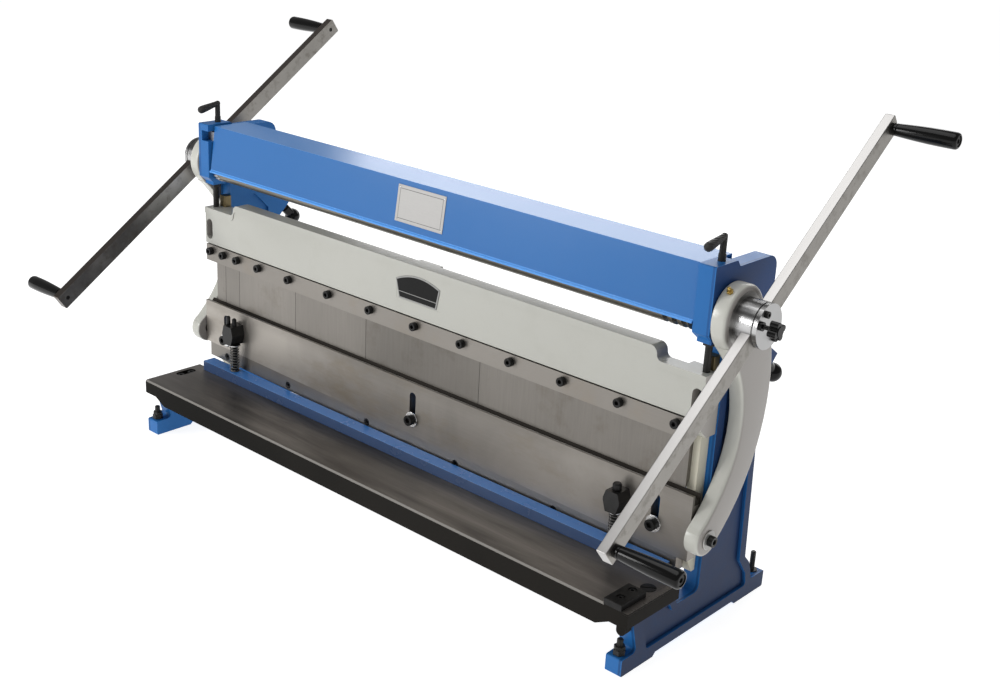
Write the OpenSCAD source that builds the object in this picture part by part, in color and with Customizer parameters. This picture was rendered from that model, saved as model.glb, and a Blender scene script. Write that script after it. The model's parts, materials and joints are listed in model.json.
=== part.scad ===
// Combination sheet metal machine: shear, press brake and slip rolls in one hand cranked frame
// X runs along the rolls with 0 midway between the side frames, Y runs to the back, Z is up from the floor
// The modules count Y from the front face of the ram plate, and placed() moves it to count from the hubs' axis
// Millimetres throughout

/* [Machine] */
// Working width, which is the run of the bending fingers
work_w = 1016; // [900:4:1100]
// Thickness of each cast side frame
frame_t = 26.5; // [24:0.5:30]
// Diameter of the four holes in the feet
foot_hole_d = 11; // [10.5:0.5:14]

/* [Table] */
// Depth of the shear table from front edge to rear edge
table_d = 116.5; // [106:0.5:122]
// Thickness of the table top slab
table_slab = 16; // [12:0.5:20]

/* [Press brake] */
// Height of the bending fingers above their nose
finger_h = 95.4; // [90:0.2:97]
// Half the width of the vee in the lower die
vee_half = 5.7; // [4.5:0.1:6]
// Head diameter of the clamp bar bolts
bolt_head_d = 13.5; // [11:0.5:14]
// Number of clamp bar bolts that are shown, from the left end
clamp_bolts = 13; // [9:1:13]

/* [Slip rolls] */
// Radius of the three rolls
roll_r = 21.5; // [20:0.1:21.5]
// Width of each wire groove in the lower roll
wire_groove = 8; // [4:0.5:10]

/* [Cranks] */
// Length of each crank bar from the hub centre to its end
crank_l = 366; // [300:2:400]
// Lift of the right crank bar above level
right_lift = 38; // [30:1:45]
// Lift of the left crank bar above level
left_lift = 35; // [30:1:45]
// Width of the flat crank bars
bar_w = 26.6; // [22:0.2:30]
// Length of the turning grips
grip_l = 93; // [80:1:110]
// Largest radius of the grips
grip_r = 12.5; // [11:0.25:14]

/* [Hold-down] */
// Wire diameter of the hold-down springs
spring_wire = 2; // [1.6:0.1:2.2]
// Curls of each hold-down spring
spring_curls = 9; // [6:1:10]

/* [Nodes] */
// Part to show, where all is the whole machine

/* [Hidden] */
$fn = 48;
e = 0.01;

// stations along X
half = work_w / 2;
xi = half - 5.5;
xo = xi + frame_t;
xb = xi + frame_t / 2;
xd = xo + 3 - 22.4;
xp = xi + frame_t - 5;
window_x = xi + frame_t - 9;
arm_x0 = xo + 1;
arm_x1 = arm_x0 + 23;
hub_x1 = arm_x1 + 35;
bar_x0 = arm_x1 + 12.5;
bar_x1 = bar_x0 + 14.4;
grip_x0 = bar_x1 + 2;
grip_x1 = grip_x0 + grip_l;
beam_x = xi - 4.5;
roll_x = xi - 12.5;
table_x = xo + 3;
ram_x = xo - 0.5;
die_x = xo - 2;

// axes of the crank shaft, its eccentrics, the upper roll and the arm pins, as Y and Z
S = [20, 463];
E = [35.5, 468.5];
roll_gap = 0.6;
U = S + (2 * roll_r + roll_gap) * [cos(82.16), sin(82.16)];
rear_roll = [74, 461];
pin = [8, 163];
eye = [9.8, 163.75];

// shear table
table_z = 97;
table_seat = 73.5;
table_y1 = -15;
table_y0 = table_y1 - table_d;
apron_z = 62;

// ram and its raked blade
ram_top = 219.5;
ram_t = 17.5;
joint_l = 142;
joint_r = 122.5;
blade_h = 24.5;
blade_t = 10;
guide_z = 158.6;
guide_x = [-(half - 37), 0, half - 38];
vee_y = 10.7;

// fingers and clamp bar
finger_z0 = 222.6;
finger_y0 = 10;
finger_y1 = 18;
clamp_z0 = 296;
clamp_z1 = 325.5;
clamp_bolt_z = 314.5;
fs = half / 508;
finger_cuts = [-508, -483, -444.8, -294, -120.4, 128.5, 508];
clamp_bolt_x = [-509.5, -474, -436, -378, -298, -199, -100, 0, 99.5, 197, 295, 395.5, 490];

// die beam
die_z0 = 327;
die_z1 = 391;
die_z2 = 410;
die_y0 = 0.5;
die_face = die_y0 + 1.3;

// hold-downs: X, bracket foot, bracket top, rod top, radius of the rod's head, shift of the bracket
hold_downs = [[-429 * fs, 165, 199, 212.7, 4, -5], [414.5 * fs, 162, 194, 204.5, 6.5, 0]];
rod_y = -15;
rod_r = 4;
spring_r = 7;
bar_top = 115;

// helpers
module xcyl(x0, x1, y, z, r) {
    translate([x0, y, z]) rotate([0, 90, 0]) cylinder(r = r, h = x1 - x0);
}
module ycyl(x, y0, y1, z, r) {
    translate([x, y0, z]) rotate([-90, 0, 0]) cylinder(r = r, h = y1 - y0);
}
module zcyl(x, y, z0, z1, r) {
    translate([x, y, z0]) cylinder(r = r, h = z1 - z0);
}
module box(x0, x1, y0, y1, z0, z1) {
    translate([x0, y0, z0]) cube([x1 - x0, y1 - y0, z1 - z0]);
}
// a profile given as Y and Z, drawn out from x0 to x1
module yz(x0, x1) {
    translate([x0, 0, 0]) rotate([90, 0, 90]) linear_extrude(height = x1 - x0) children();
}
// a profile given as X and Z, drawn out from y0 to y1
module xz(y0, y1) {
    translate([0, y1, 0]) rotate([90, 0, 0]) linear_extrude(height = y1 - y0) children();
}
module both() {
    children();
    mirror([1, 0, 0]) children();
}
// turns the local Y axis down the line of the rear roll's screws
module rear_line() {
    translate([0, rear_roll[0], rear_roll[1]]) rotate([-45, 0, 0]) children();
}
// rounds the corners of a closed outline, one radius to each corner
function rounded(p, r, n = 5) = [
    for (i = [0 : len(p) - 1])
        let (
            a = p[(i + len(p) - 1) % len(p)],
            b = p[i],
            c = p[(i + 1) % len(p)],
            u = (a - b) / norm(a - b),
            v = (c - b) / norm(c - b),
            ang = acos(max(-1, min(1, u * v))),
            q = r[i] < e || ang > 179 ? 0 : r[i],
            t = q / tan(ang / 2),
            m = b + (u + v) / max(e, norm(u + v)) * q / sin(ang / 2),
            s = b + u * t - m,
            f = b + v * t - m,
            a0 = atan2(s[1], s[0]),
            d = (atan2(f[1], f[0]) - a0 + 900) % 360 - 180
        )
        each (q == 0 ? [b] : [for (k = [0 : n]) m + q * [cos(a0 + d * k / n), sin(a0 + d * k / n)]])
];
function same(n, r) = [for (i = [1 : n]) r];
function bezier(a, b, c, d, n) = [
    for (k = [0 : n]) let (t = k / n, s = 1 - t)
        s * s * s * a + 3 * s * s * t * b + 3 * s * t * t * c + t * t * t * d
];
function joint_z(x) = joint_l + (joint_r - joint_l) * (x + ram_x) / (2 * ram_x);

// side frames
frame_outline = rounded(
    [[-131, 0], [-60, 0], [-54, 5.5], [135, 5.5], [141, 0], [217, 0], [217, 26], [181, 26],
     [176, 44], [170, 58], [157, 71], [149.7, 196], [141, 349], [152.4, 360.4], [173.6, 381.6],
     [143.8, 402], [140.5, 412], [140.5, 531], [49, 531], [42, 540], [-7, 540], [-7, 448],
     [3.5, 438.5], [3.5, 433.5], [30, 433.5], [30, 438], [38, 438], [38, 63], [-16, 63],
     [-16, 73.5], [-113, 73.5], [-100, 26], [-131, 25]],
    [2, 0, 0, 0, 0, 2, 2, 3,
     8, 8, 5, 0, 5, 0, 0,
     8, 0, 18, 4, 4, 2, 1.5,
     0, 0, 0, 0, 3, 10, 6,
     0, 0, 6, 2]);
module side_frame(window) {
    difference() {
        yz(xi, xo) polygon(frame_outline);
        // recess of the outer side, between a front rib and a rear rib
        yz(xo - 5, xo + 1) polygon(rounded(
            [[-88, 69], [-77, 20], [168, 20], [163, 42], [142, 70], [136, 196], [127, 349], [122, 384],
             [100, 403], [64, 403], [54, 392], [54, 74], [38, 55], [-22, 55], [-30, 69]],
            [3, 6, 6, 10, 12, 0, 8, 10, 10, 8, 8, 8, 8, 6, 6]));
        // relief on the inner side
        yz(xi - 1, xi + 4) polygon([[62, 214], [118, 214], [122, 376], [92, 406], [62, 406]]);
        // shaft bore with its bush
        xcyl(xi - 1, xo + 1, S[0], S[1], 18);
        // pocket of the upper roll's bearing, its front window and its screw hole
        box(xi - 1, xp, 7, 45, U[1] - 20.6, U[1] + 22.4);
        if (window)
            box(xi - 1, window_x, -8, 8, 511, U[1] + 22.4);
        zcyl(xb, 24, 520, 541, 5.6);
        // sloping pocket of the rear roll's bearing and the bore of its screw
        rear_line() {
            box(xi - 1, xp, -27, 40, -18, 18);
            ycyl(xb, 0, 135, 0, 6.3);
        }
        // chamfers of the boss under the head
        for (m = [0, 1])
            translate([xb, 0, 0]) mirror([m, 0, 0]) xz(-8, 37)
                polygon([[11.2, 432], [14.5, 432], [14.5, 447], [13.2, 446], [11.2, 438.5]]);
        // jack screw, die beam bolt, foot holes
        zcyl(xb, 17, 430, 443, 5.2);
        ycyl(xb, 30, 66, 353, 5.1);
        zcyl(xb, -120, -1, 30, foot_hole_d / 2);
        zcyl(xb, 204, -1, 30, foot_hole_d / 2);
        // bolts of the bed beam and of the table
        for (z = [132, 182])
            xcyl(xi - 1, xi + 14, 50, z, 5.1);
        zcyl(xb, -46, 55, 75, 5.1);
        zcyl(xb, -68, 55, 75, 5.1);
        zcyl(xd, -57, 55, 75, 5.1);
    }
}
module left_side_frame() {
    color([0.05, 0.36, 0.68]) mirror([1, 0, 0]) side_frame(true);
}
module right_side_frame() {
    color([0.05, 0.36, 0.68]) side_frame(false);
}

// shear table with its front and rear aprons
module shear_table() {
    color([0.16, 0.15, 0.15]) difference() {
        union() {
            box(-table_x, table_x, table_y0, table_y1, table_z - table_slab, table_z);
            // thick ends, which stand on the frames
            both() box(xi - 22, table_x, table_y0, table_y1, table_seat, table_z - table_slab + e);
            // front apron, deeper between the frames
            xz(table_y0, table_y0 + 14) polygon(
                [[-xi, table_seat], [-xi + 22, apron_z], [xi - 22, apron_z], [xi, table_seat],
                 [xi, table_z - table_slab + e], [-xi, table_z - table_slab + e]]);
            xz(table_y1 - 14, table_y1) polygon(
                [[-xi + 1, table_seat], [-xi + 22, apron_z], [xi - 22, apron_z], [xi - 1, table_seat],
                 [xi - 1, table_z - table_slab + e], [-xi + 1, table_z - table_slab + e]]);
            for (k = [-2 : 2])
                box(k * 190 * fs - 5, k * 190 * fs + 5, table_y0 + 13, table_y1 - 13, 66,
                    table_z - table_slab + e);
            // round lug under the front right corner
            ycyl(xo - 9, table_y0 + 3, min(table_y0 + 18, -113.4), 66, 7);
            box(xo - 16, xo - 2, table_y0 + 3, min(table_y0 + 18, -113.4), 66, table_seat + e);
        }
        // seat of the graduated strip
        box(table_x - 9, table_x + 1, table_y0 - 1, table_y1 + 1, table_z - 3, table_z + 1);
        // bevel along the front edge
        yz(-table_x - 1, xi - 10) polygon(
            [[table_y0 - 1, table_z - 3.5], [table_y0 + 3, table_z + 0.5], [table_y0 - 1, table_z + 0.5]]);
        // slotted counterbore at the left end
        zcyl(-xb, -46, table_z - 7, table_z + 1, 8);
        zcyl(-xb, -68, table_z - 7, table_z + 1, 8);
        box(-xb - 8, -xb + 8, -68, -46, table_z - 7, table_z + 1);
        zcyl(-xb, -46, 70, table_z, 5.2);
        zcyl(-xb, -68, 70, table_z, 5.2);
        // round head at the right end
        zcyl(xd, -57, table_z - 6, table_z + 1, 11.2);
        zcyl(xd, -57, 70, table_z, 5.2);
        // lower blade screws and fence screws
        for (k = [-4 : 4])
            ycyl(k * 118 * fs, table_y1 - 20, table_y1 + 1, 85, 4.1);
        zcyl(fence_x0 + 14, table_y0 + 16.5, table_z - 12, table_z + 1, 3.1);
        zcyl(fence_x0 + 14, table_y0 + 42.5, table_z - 12, table_z + 1, 3.1);
    }
}
module edge_scale() {
    color([0.16, 0.15, 0.15]) difference() {
        box(table_x - 8.9, table_x, table_y0, table_y1, table_z - 3, table_z);
        for (k = [1 : 21])
            box(table_x - (k % 5 == 0 ? 4.5 : 2.5), table_x + 1, table_y1 - 5.2 * k - 0.3, table_y1 - 5.2 * k + 0.3,
                table_z - 0.5, table_z + 1);
    }
}
module lower_shear_blade() {
    color([0.62, 0.62, 0.62]) difference() {
        box(-half - 4, half + 4, table_y1, -0.15, 72, table_z);
        for (k = [-4 : 4]) {
            ycyl(k * 118 * fs, table_y1 - 1, 1, 85, 4.1);
            ycyl(k * 118 * fs, -6, 1, 85, 7);
        }
    }
}
module lower_blade_screws() {
    color([0.10, 0.10, 0.10]) for (k = [-4 : 4]) {
        ycyl(k * 118 * fs, table_y1 - 14, -6, 85, 4);
        ycyl(k * 118 * fs, -6, -1, 85, 6.5);
    }
}
// squaring fence
fence_x0 = table_x - 39.5;
module squaring_fence() {
    color([0.10, 0.10, 0.10]) difference() {
        box(fence_x0, fence_x0 + 29, table_y0 - 1.5, table_y0 + 52.5, table_z, table_z + 9);
        for (y = [16.5, 42.5]) {
            zcyl(fence_x0 + 14, table_y0 + y, table_z - 1, table_z + 10, 3.2);
            zcyl(fence_x0 + 14, table_y0 + y, table_z + 4, table_z + 10, 6);
        }
    }
}
module table_screws() {
    color([0.14, 0.14, 0.14]) {
        for (y = [16.5, 42.5])
            difference() {
                union() {
                    zcyl(fence_x0 + 14, table_y0 + y, table_z - 10, table_z + 4, 3);
                    zcyl(fence_x0 + 14, table_y0 + y, table_z + 4, table_z + 8, 5.2);
                }
                translate([fence_x0 + 14, table_y0 + y, table_z + 5.5]) cylinder(r = 2.6, h = 4, $fn = 6);
            }
        // socket screws in the left slot
        for (y = [-46, -68])
            difference() {
                union() {
                    zcyl(-xb, y, 58, table_z - 7, 5);
                    zcyl(-xb, y, table_z - 7, table_z - 1.5, 6.6);
                }
                translate([-xb, y, table_z - 4]) cylinder(r = 3, h = 4, $fn = 6);
            }
        // round slotted head at the right end
        difference() {
            union() {
                zcyl(xd, -57, 58, table_z - 6, 5);
                zcyl(xd, -57, table_z - 6, table_z + 0.8, 11);
            }
            translate([xd, -57, table_z]) rotate([0, 0, 35]) cube([30, 2, 2.4], center = true);
        }
    }
}

// top beam, a folded sheet
beam_section = [
    [71, 503], [71, 537.5], [3.8, 537.5], [-6.2, 463], [-9.2, 461.6], [-9.2, 459.2],
    [-5.6, 459.2], [-3.2, 463.5], [6.4, 534.5], [68, 534.5], [68, 503]
];
module top_beam() {
    color([0.10, 0.42, 0.76]) {
        yz(-beam_x, xi - 0.8) polygon(beam_section);
        // tabs that seat the beam between the frames
        both() box(beam_x - 12, xi, 50, 68.5, 505, 530);
        both() box(beam_x - 12, beam_x - 6, 50, 68.5, 529, 535);
    }
}
module rating_plate() {
    color([0.62, 0.63, 0.64])
        translate([4.5, 3.8 - 9 * (537.5 - 501.7) / 67, 501.7]) rotate([-7.65, 0, 0])
            difference() {
                translate([-50, -0.9, -28]) cube([100, 0.85, 56]);
                for (x = [-46.5, 46.5])
                    for (z = [-24.5, 24.5])
                        translate([x, -1.2, z]) rotate([-90, 0, 0]) cylinder(r = 1.3, h = 0.7, $fn = 24);
            }
}

// die beam
function die_top(s) = concat(
    [[die_x, die_z0], [die_x, die_z1]],
    [for (k = [0 : 6]) [die_x - 71 - 8 * sin(15 * k), die_z1 + 8 - 8 * cos(15 * k)]],
    [for (k = [0 : 6]) [die_x - 90 + 11 * cos(15 * k), die_z2 - 11 + 11 * sin(15 * k)]]
);
module die_outline() {
    r = die_top(1);
    n = len(r) - 1;
    polygon(concat(r, [for (k = [0 : n]) [-r[n - k][0], r[n - k][1]]]));
}
module upper_die_beam() {
    color([0.80, 0.83, 0.78]) difference() {
        union() {
            xz(die_y0, 25.5) die_outline();
            // rear wall down behind the fingers
            box(-xi + 3, xi - 3, finger_y1 + 0.2, 37.5, 291, die_z0 + 10);
            // end bosses against the columns
            both() box(xi - 20, die_x, die_y0, 38, die_z0, die_z1);
            both() box(xi - 18, die_x, finger_y1 + 0.2, 38, 300, die_z0 + e);
            // right lug with its bevel
            yz(half + 0.5, die_x) polygon([[die_face, die_z0 + 1], [die_face, 314], [17, 300], [19, 300], [19, die_z0 + 1]]);
            yz(xi + 2.5, half + 1) polygon([[die_face, die_z0 + 1], [die_face, 314], [finger_y0 - 0.2, 306.1], [finger_y0 - 0.2, die_z0 + 1]]);
            // stop pad on the rear of the top
            box(-22, 24, 25, 32, 392, die_z2);
        }
        // panel below the raised rim of the top
        xz(die_y0 - 1, die_face) union() {
            translate([0, -10]) die_outline();
            translate([-die_x - 1, die_z0 - 1]) square([2 * die_x + 2, die_z1 - die_z0 - 9]);
        }
        // slots of the end bolts
        both() {
            for (z = [343, 363]) {
                ycyl(xb, -1, 24, z, 8);
                ycyl(xb, 23, 39, z, 5.5);
            }
            box(xb - 8, xb + 8, -1, 24, 343, 363);
            box(xb - 5.5, xb + 5.5, 23, 39, 343, 363);
        }
        // jack screw seats
        both() zcyl(xb, 17, die_z1 - 2, die_z1 + 1, 5.3);
        // badge seat and tapped holes behind the clamp bar
        box(-44, 50, die_y0 + 1, die_face + 0.3, 350, 381);
        for (k = [0 : clamp_bolts - 1])
            ycyl(clamp_bolt_x[k] * fs, 17, 34, clamp_bolt_z, 4.1);
    }
}
module badge_plate() {
    color([0.08, 0.08, 0.09]) xz(die_y0 + 0.1, die_y0 + 1.6) polygon(rounded(
        [[-22, 351.5], [28, 351.5], [47, 361], [48.5, 371], [38, 375], [27, 380], [-21, 380],
         [-32, 375], [-42.5, 371], [-41, 361]],
        same(10, 3)));
}
module die_beam_bolts() {
    color([0.10, 0.10, 0.10]) both() difference() {
        union() {
            ycyl(xb, 15, 24, 353, 7.6);
            ycyl(xb, 24, 60, 353, 5);
        }
        translate([xb, 14, 353]) rotate([-90, 0, 0]) cylinder(r = 4, h = 6, $fn = 6);
    }
}
module jack_screws() {
    color([0.12, 0.12, 0.13]) both() {
        zcyl(xb, 17, die_z1 - 1.9, 442.5, 5);
        translate([xb, 17, 428.2]) cylinder(r = 9.4, h = 5.2, $fn = 6);
    }
}
module die_end_blocks() {
    color([0.62, 0.50, 0.30]) both()
        box(xi - 5.5, xi + 16.5, 25, 37.9, die_z1, 412);
}
module finger_clamp_bar() {
    color([0.66, 0.65, 0.64]) difference() {
        box(-half - 15.5, half - 4, 0, finger_y0, clamp_z0, clamp_z1);
        for (k = [0 : clamp_bolts - 1])
            ycyl(clamp_bolt_x[k] * fs, -1, finger_y0 + 1, clamp_bolt_z, 4.2);
    }
}
module clamp_bar_bolts() {
    color([0.08, 0.08, 0.08]) for (k = [0 : clamp_bolts - 1]) difference() {
        union() {
            ycyl(clamp_bolt_x[k] * fs, -8, 0, clamp_bolt_z, bolt_head_d / 2);
            ycyl(clamp_bolt_x[k] * fs, 0, 32, clamp_bolt_z, 4);
        }
        translate([clamp_bolt_x[k] * fs, -9, clamp_bolt_z]) rotate([-90, 0, 0])
            cylinder(r = 3.5, h = 5, $fn = 6);
    }
}
// bending fingers, each a bar with a sharp nose and notches round the bolts
module bending_fingers() {
    color([0.64, 0.63, 0.61]) difference() {
        for (k = [0 : len(finger_cuts) - 2])
            yz(finger_cuts[k] * fs + 0.12, finger_cuts[k + 1] * fs - 0.12) polygon(
                [[finger_y0, finger_z0 + 0.6], [finger_y0 + 0.5, finger_z0], [finger_y0 + 1.2, finger_z0],
                 [finger_y1, finger_z0 + 9.6], [finger_y1, finger_z0 + finger_h], [finger_y0, finger_z0 + finger_h]]);
        for (k = [0 : clamp_bolts - 1]) {
            ycyl(clamp_bolt_x[k] * fs, 9, 19, clamp_bolt_z, 4.3);
            box(clamp_bolt_x[k] * fs - 4.3, clamp_bolt_x[k] * fs + 4.3, 9, 19, clamp_bolt_z, 325);
        }
    }
}
module guide_strips() {
    color([0.80, 0.79, 0.70]) both()
        yz(xi + 1.5, xi + 16.5) polygon([[18.2, 111], [30, 92], [38, 92], [38, 299], [18.2, 299]]);
}
module foot_studs() {
    color([0.12, 0.12, 0.12]) both() {
        zcyl(xb, -120, 1, 50, 5);
        translate([xb, -120, 25.9]) cylinder(r = 9, h = 9, $fn = 6);
        zcyl(xb, 204, 1, 60, 5);
        zcyl(xb, 204, 26, 28.5, 9.5);
    }
}
module shaft_bushes() {
    color([0.70, 0.55, 0.25]) both() difference() {
        xcyl(xi, xo, S[0], S[1], 17.95);
        xcyl(xi - 1, xo + 1, S[0], S[1], 13.06);
    }
}
// bed beam behind the ram
module rear_bed_beam() {
    color([0.05, 0.36, 0.68]) difference() {
        union() {
            box(-xi, xi, 18, 32, 112, 205);
            box(-xi, xi, 31, 66, 193, 205);
            box(-xi, xi, 31, 60, 112, 122);
            both() box(xi - 12, xi, 31, 60, 112, 205);
        }
        for (x = guide_x)
            ycyl(x, 17, 33, guide_z, 6.05);
        both() for (z = [132, 182])
            xcyl(xi - 13, xi + 1, 50, z, 5.1);
    }
}
module bed_beam_bolts() {
    color([0.12, 0.12, 0.12]) both() for (z = [132, 182]) {
        xcyl(xi - 12, xi + 13, 50, z, 5);
        xcyl(xi - 20, xi - 12, 50, z, 8);
    }
}
module ram_guide_bolts() {
    color([0.10, 0.10, 0.10]) for (x = guide_x) difference() {
        union() {
            ycyl(x, -11, -2.6, guide_z, 8.5);
            ycyl(x, -2.6, 40, guide_z, 6);
        }
        translate([x, -12, guide_z]) rotate([-90, 0, 0]) cylinder(r = 4.6, h = 6, $fn = 6);
    }
}
module ram_guide_washers() {
    color([0.80, 0.80, 0.80]) for (x = guide_x) difference() {
        ycyl(x, -2.6, -0.1, guide_z, 12.5);
        ycyl(x, -3, 1, guide_z, 6.05);
    }
}

// ram
blade_screw_x = [-470, -302, -104, 96, 294, 492];
module ram_plate() {
    color([0.60, 0.59, 0.57]) difference() {
        union() {
            xz(0, ram_t) polygon([[-ram_x, joint_z(-ram_x)], [ram_x, joint_z(ram_x)], [ram_x, ram_top],
                                  [-ram_x, ram_top]]);
            xz(blade_t, ram_t) polygon(
                [[-half - 9, joint_z(-half - 9) - 22], [half + 4, joint_z(half + 4) - 22],
                 [half + 4, joint_z(half + 4) + 1], [-half - 9, joint_z(-half - 9) + 1]]);
        }
        // seat of the vee die
        box(-ram_x - 1, ram_x + 1, 4.5, ram_t + 1, ram_top - 15, ram_top + 1);
        // slots of the guide bolts
        for (x = guide_x) {
            for (z = [151, 197])
                ycyl(x, -1, ram_t + 1, z, 6.7);
            box(x - 6.7, x + 6.7, -1, ram_t + 1, 151, 197);
        }
        // pin threads, bracket screws and blade screws
        both() xcyl(ram_x - 16, ram_x + 1, pin[0], pin[1], 5.1);
        for (h = hold_downs)
            for (dx = [-5, 5])
                ycyl(h[0] + dx, -1, 8, h[2] - 12, 2.6);
        for (x = blade_screw_x)
            ycyl(x * fs, blade_t - 1, ram_t + 1, joint_z(x * fs) - 15, 4.1);
    }
}
module v_die() {
    color([0.45, 0.38, 0.26]) yz(-ram_x, ram_x) polygon(
        [[4.5, ram_top - 15], [ram_t, ram_top - 15], [ram_t, ram_top], [vee_y + vee_half, ram_top],
         [vee_y, ram_top - vee_half * 1.4], [vee_y - vee_half, ram_top], [4.5, ram_top]]);
}
module upper_shear_blade() {
    color([0.66, 0.65, 0.63]) difference() {
        xz(0, blade_t) polygon(
            [[-half - 9, joint_z(-half - 9) - blade_h], [half + 4, joint_z(half + 4) - blade_h],
             [half + 4, joint_z(half + 4)], [-half - 9, joint_z(-half - 9)]]);
        for (x = blade_screw_x) {
            ycyl(x * fs, -1, blade_t + 1, joint_z(x * fs) - 15, 4.1);
            ycyl(x * fs, -1, 5, joint_z(x * fs) - 15, 6.3);
        }
    }
}
module blade_screws() {
    color([0.10, 0.10, 0.10]) for (x = blade_screw_x) difference() {
        union() {
            ycyl(x * fs, 0.6, 5, joint_z(x * fs) - 15, 6);
            ycyl(x * fs, 5, ram_t - 1, joint_z(x * fs) - 15, 4);
        }
        translate([x * fs, 0, joint_z(x * fs) - 15]) rotate([-90, 0, 0]) cylinder(r = 3, h = 3, $fn = 6);
    }
}
module arm_pins() {
    color([0.11, 0.11, 0.12]) both() difference() {
        union() {
            xcyl(ram_x - 15, ram_x, pin[0], pin[1], 5);
            xcyl(ram_x, arm_x1 + 0.4, pin[0], pin[1], 8);
            xcyl(arm_x1 + 0.4, arm_x1 + 2.4, pin[0], pin[1], 13.5);
            xcyl(arm_x1 + 2.4, arm_x1 + 10.5, pin[0], pin[1], 9);
        }
        translate([arm_x1 + 5.5, pin[0], pin[1]]) rotate([0, 90, 0]) cylinder(r = 4.9, h = 8, $fn = 6);
    }
}
// hold-down brackets, black blocks on the ram, widest at half their height
module hold_down_brackets() {
    color([0.09, 0.09, 0.09]) {
        for (h = hold_downs) difference() {
            union() {
                xz(-27, 0) polygon([for (p = [[-9, 0], [9, 0], [14, 16], [14, 20], [10, h[2] - h[1]], [-10, h[2] - h[1]],
                                              [-14, 20], [-14, 16]]) [h[0] + h[5] + p[0], h[1] + p[1]]]);
                for (dx = [-5, 5])
                    ycyl(h[0] + dx, -1, 7, h[2] - 12, 2.5);
                zcyl(h[0], rod_y, h[1] - 2, h[1] + e, 10);
            }
            zcyl(h[0], rod_y, h[1] - 3, h[2] + 1, rod_r + 0.08);
            zcyl(h[0], rod_y, h[3] - 18.4, h[2] + 1, h[4] + 0.3);
        }
        // stop pin of the left bracket
        zcyl(hold_downs[0][0] - 14, -17, hold_downs[0][2] - e, 211, 3.8);
        translate([hold_downs[0][0] - 14, -17, 211]) sphere(r = 3.8, $fn = 24);
    }
}
module hold_down_bar() {
    color([0.10, 0.42, 0.76]) difference() {
        box(-xi - 2, xi + 2, -27, -3.5, table_z + 0.3, bar_top);
        for (h = hold_downs)
            zcyl(h[0], rod_y, 103, bar_top + 1, rod_r + 0.1);
    }
}
module hold_down_rods() {
    color([0.12, 0.12, 0.12]) for (h = hold_downs) {
        zcyl(h[0], rod_y, 103, h[3] - 2, rod_r);
        zcyl(h[0], rod_y, h[3] - 10, h[3] - 1.5, h[4]);
        zcyl(h[0], rod_y, h[3] - 1.5, h[3], h[4] - 1.2);
    }
}
// spring wound as one unbroken tube of six sides
function coil_path(z0, z1) = [
    for (k = [0 : 8 * spring_curls])
        let (a = 45 * k, z = z0 + spring_wire / 2 + (z1 - z0 - spring_wire) * k / (8 * spring_curls))
            [spring_r * cos(a), spring_r * sin(a), z]
];
function ring(p, a, lead) = [
    for (j = [0 : 5])
        let (b = 60 * j, o = spring_wire / 2 * cos(b), u = spring_wire / 2 * sin(b))
            [p[0] + o * cos(a) + u * sin(lead) * sin(a), p[1] + o * sin(a) - u * sin(lead) * cos(a), p[2] + u * cos(lead)]
];
function spring_gap(z0, z1) = (z1 - z0 - spring_wire) / spring_curls - spring_wire;
module spring(x, z0, z1) {
    path = coil_path(z0, z1);
    n = len(path);
    lead = atan((z1 - z0) / spring_curls / (2 * PI * spring_r));
    pts = [for (k = [0 : n - 1]) each ring(path[k], 45 * k, lead)];
    sides = [for (k = [0 : n - 2]) for (j = [0 : 5])
        each [[6 * k + j, 6 * k + (j + 1) % 6, 6 * k + 6 + (j + 1) % 6],
              [6 * k + j, 6 * k + 6 + (j + 1) % 6, 6 * k + 6 + j]]];
    translate([x, rod_y, 0]) polyhedron(
        points = pts,
        faces = concat([[for (j = [0 : 5]) 5 - j]], sides, [[for (j = [0 : 5]) 6 * (n - 1) + j]]),
        convexity = 10);
}
for (h = hold_downs)
    echo(spring_gap_mm = spring_gap(bar_top + 0.1, h[1] - 2.1));
module left_hold_down_spring() {
    color([0.13, 0.13, 0.14]) spring(hold_downs[0][0], bar_top + 0.1, hold_downs[0][1] - 2.1);
}
module right_hold_down_spring() {
    color([0.13, 0.13, 0.14]) spring(hold_downs[1][0], bar_top + 0.1, hold_downs[1][1] - 2.1);
}

// arms from the eccentrics down to the ram
arm_outline = concat(
    bezier([4, 434], [75, 372], [88, 262], [-14, 176], 18),
    bezier([22, 144], [152, 250], [140, 420], [78, 484], 18));
module arm() {
    difference() {
        union() {
            yz(arm_x0, arm_x1) polygon(arm_outline);
            xcyl(arm_x0, arm_x1, E[0], E[1], 46);
            xcyl(arm_x0, arm_x1, pin[0], pin[1], 25);
        }
        xcyl(arm_x0 - 1, arm_x1 + 1, E[0], E[1], 37);
        xcyl(arm_x0 - 1, arm_x1 + 1, eye[0], eye[1], 11.2);
        nipple_line() zcyl(0, 0, 40, 50, 3.1);
    }
}
module nipple_line() {
    translate([arm_x0 + 11.5, E[0], E[1]]) rotate([32.8, 0, 0]) children();
}
module nipple() {
    nipple_line() {
        zcyl(0, 0, 41, 46, 3);
        translate([0, 0, 46]) cylinder(r = 4.6, h = 3.5, $fn = 6);
        zcyl(0, 0, 49.4, 52, 2.4);
        translate([0, 0, 53]) sphere(r = 2.6, $fn = 24);
    }
}
module left_arm() {
    color([0.80, 0.83, 0.78]) mirror([1, 0, 0]) arm();
}
module right_arm() {
    color([0.80, 0.83, 0.78]) arm();
}
module left_grease_nipple() {
    color([0.80, 0.62, 0.25]) mirror([1, 0, 0]) nipple();
}
module right_grease_nipple() {
    color([0.80, 0.62, 0.25]) nipple();
}

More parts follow.
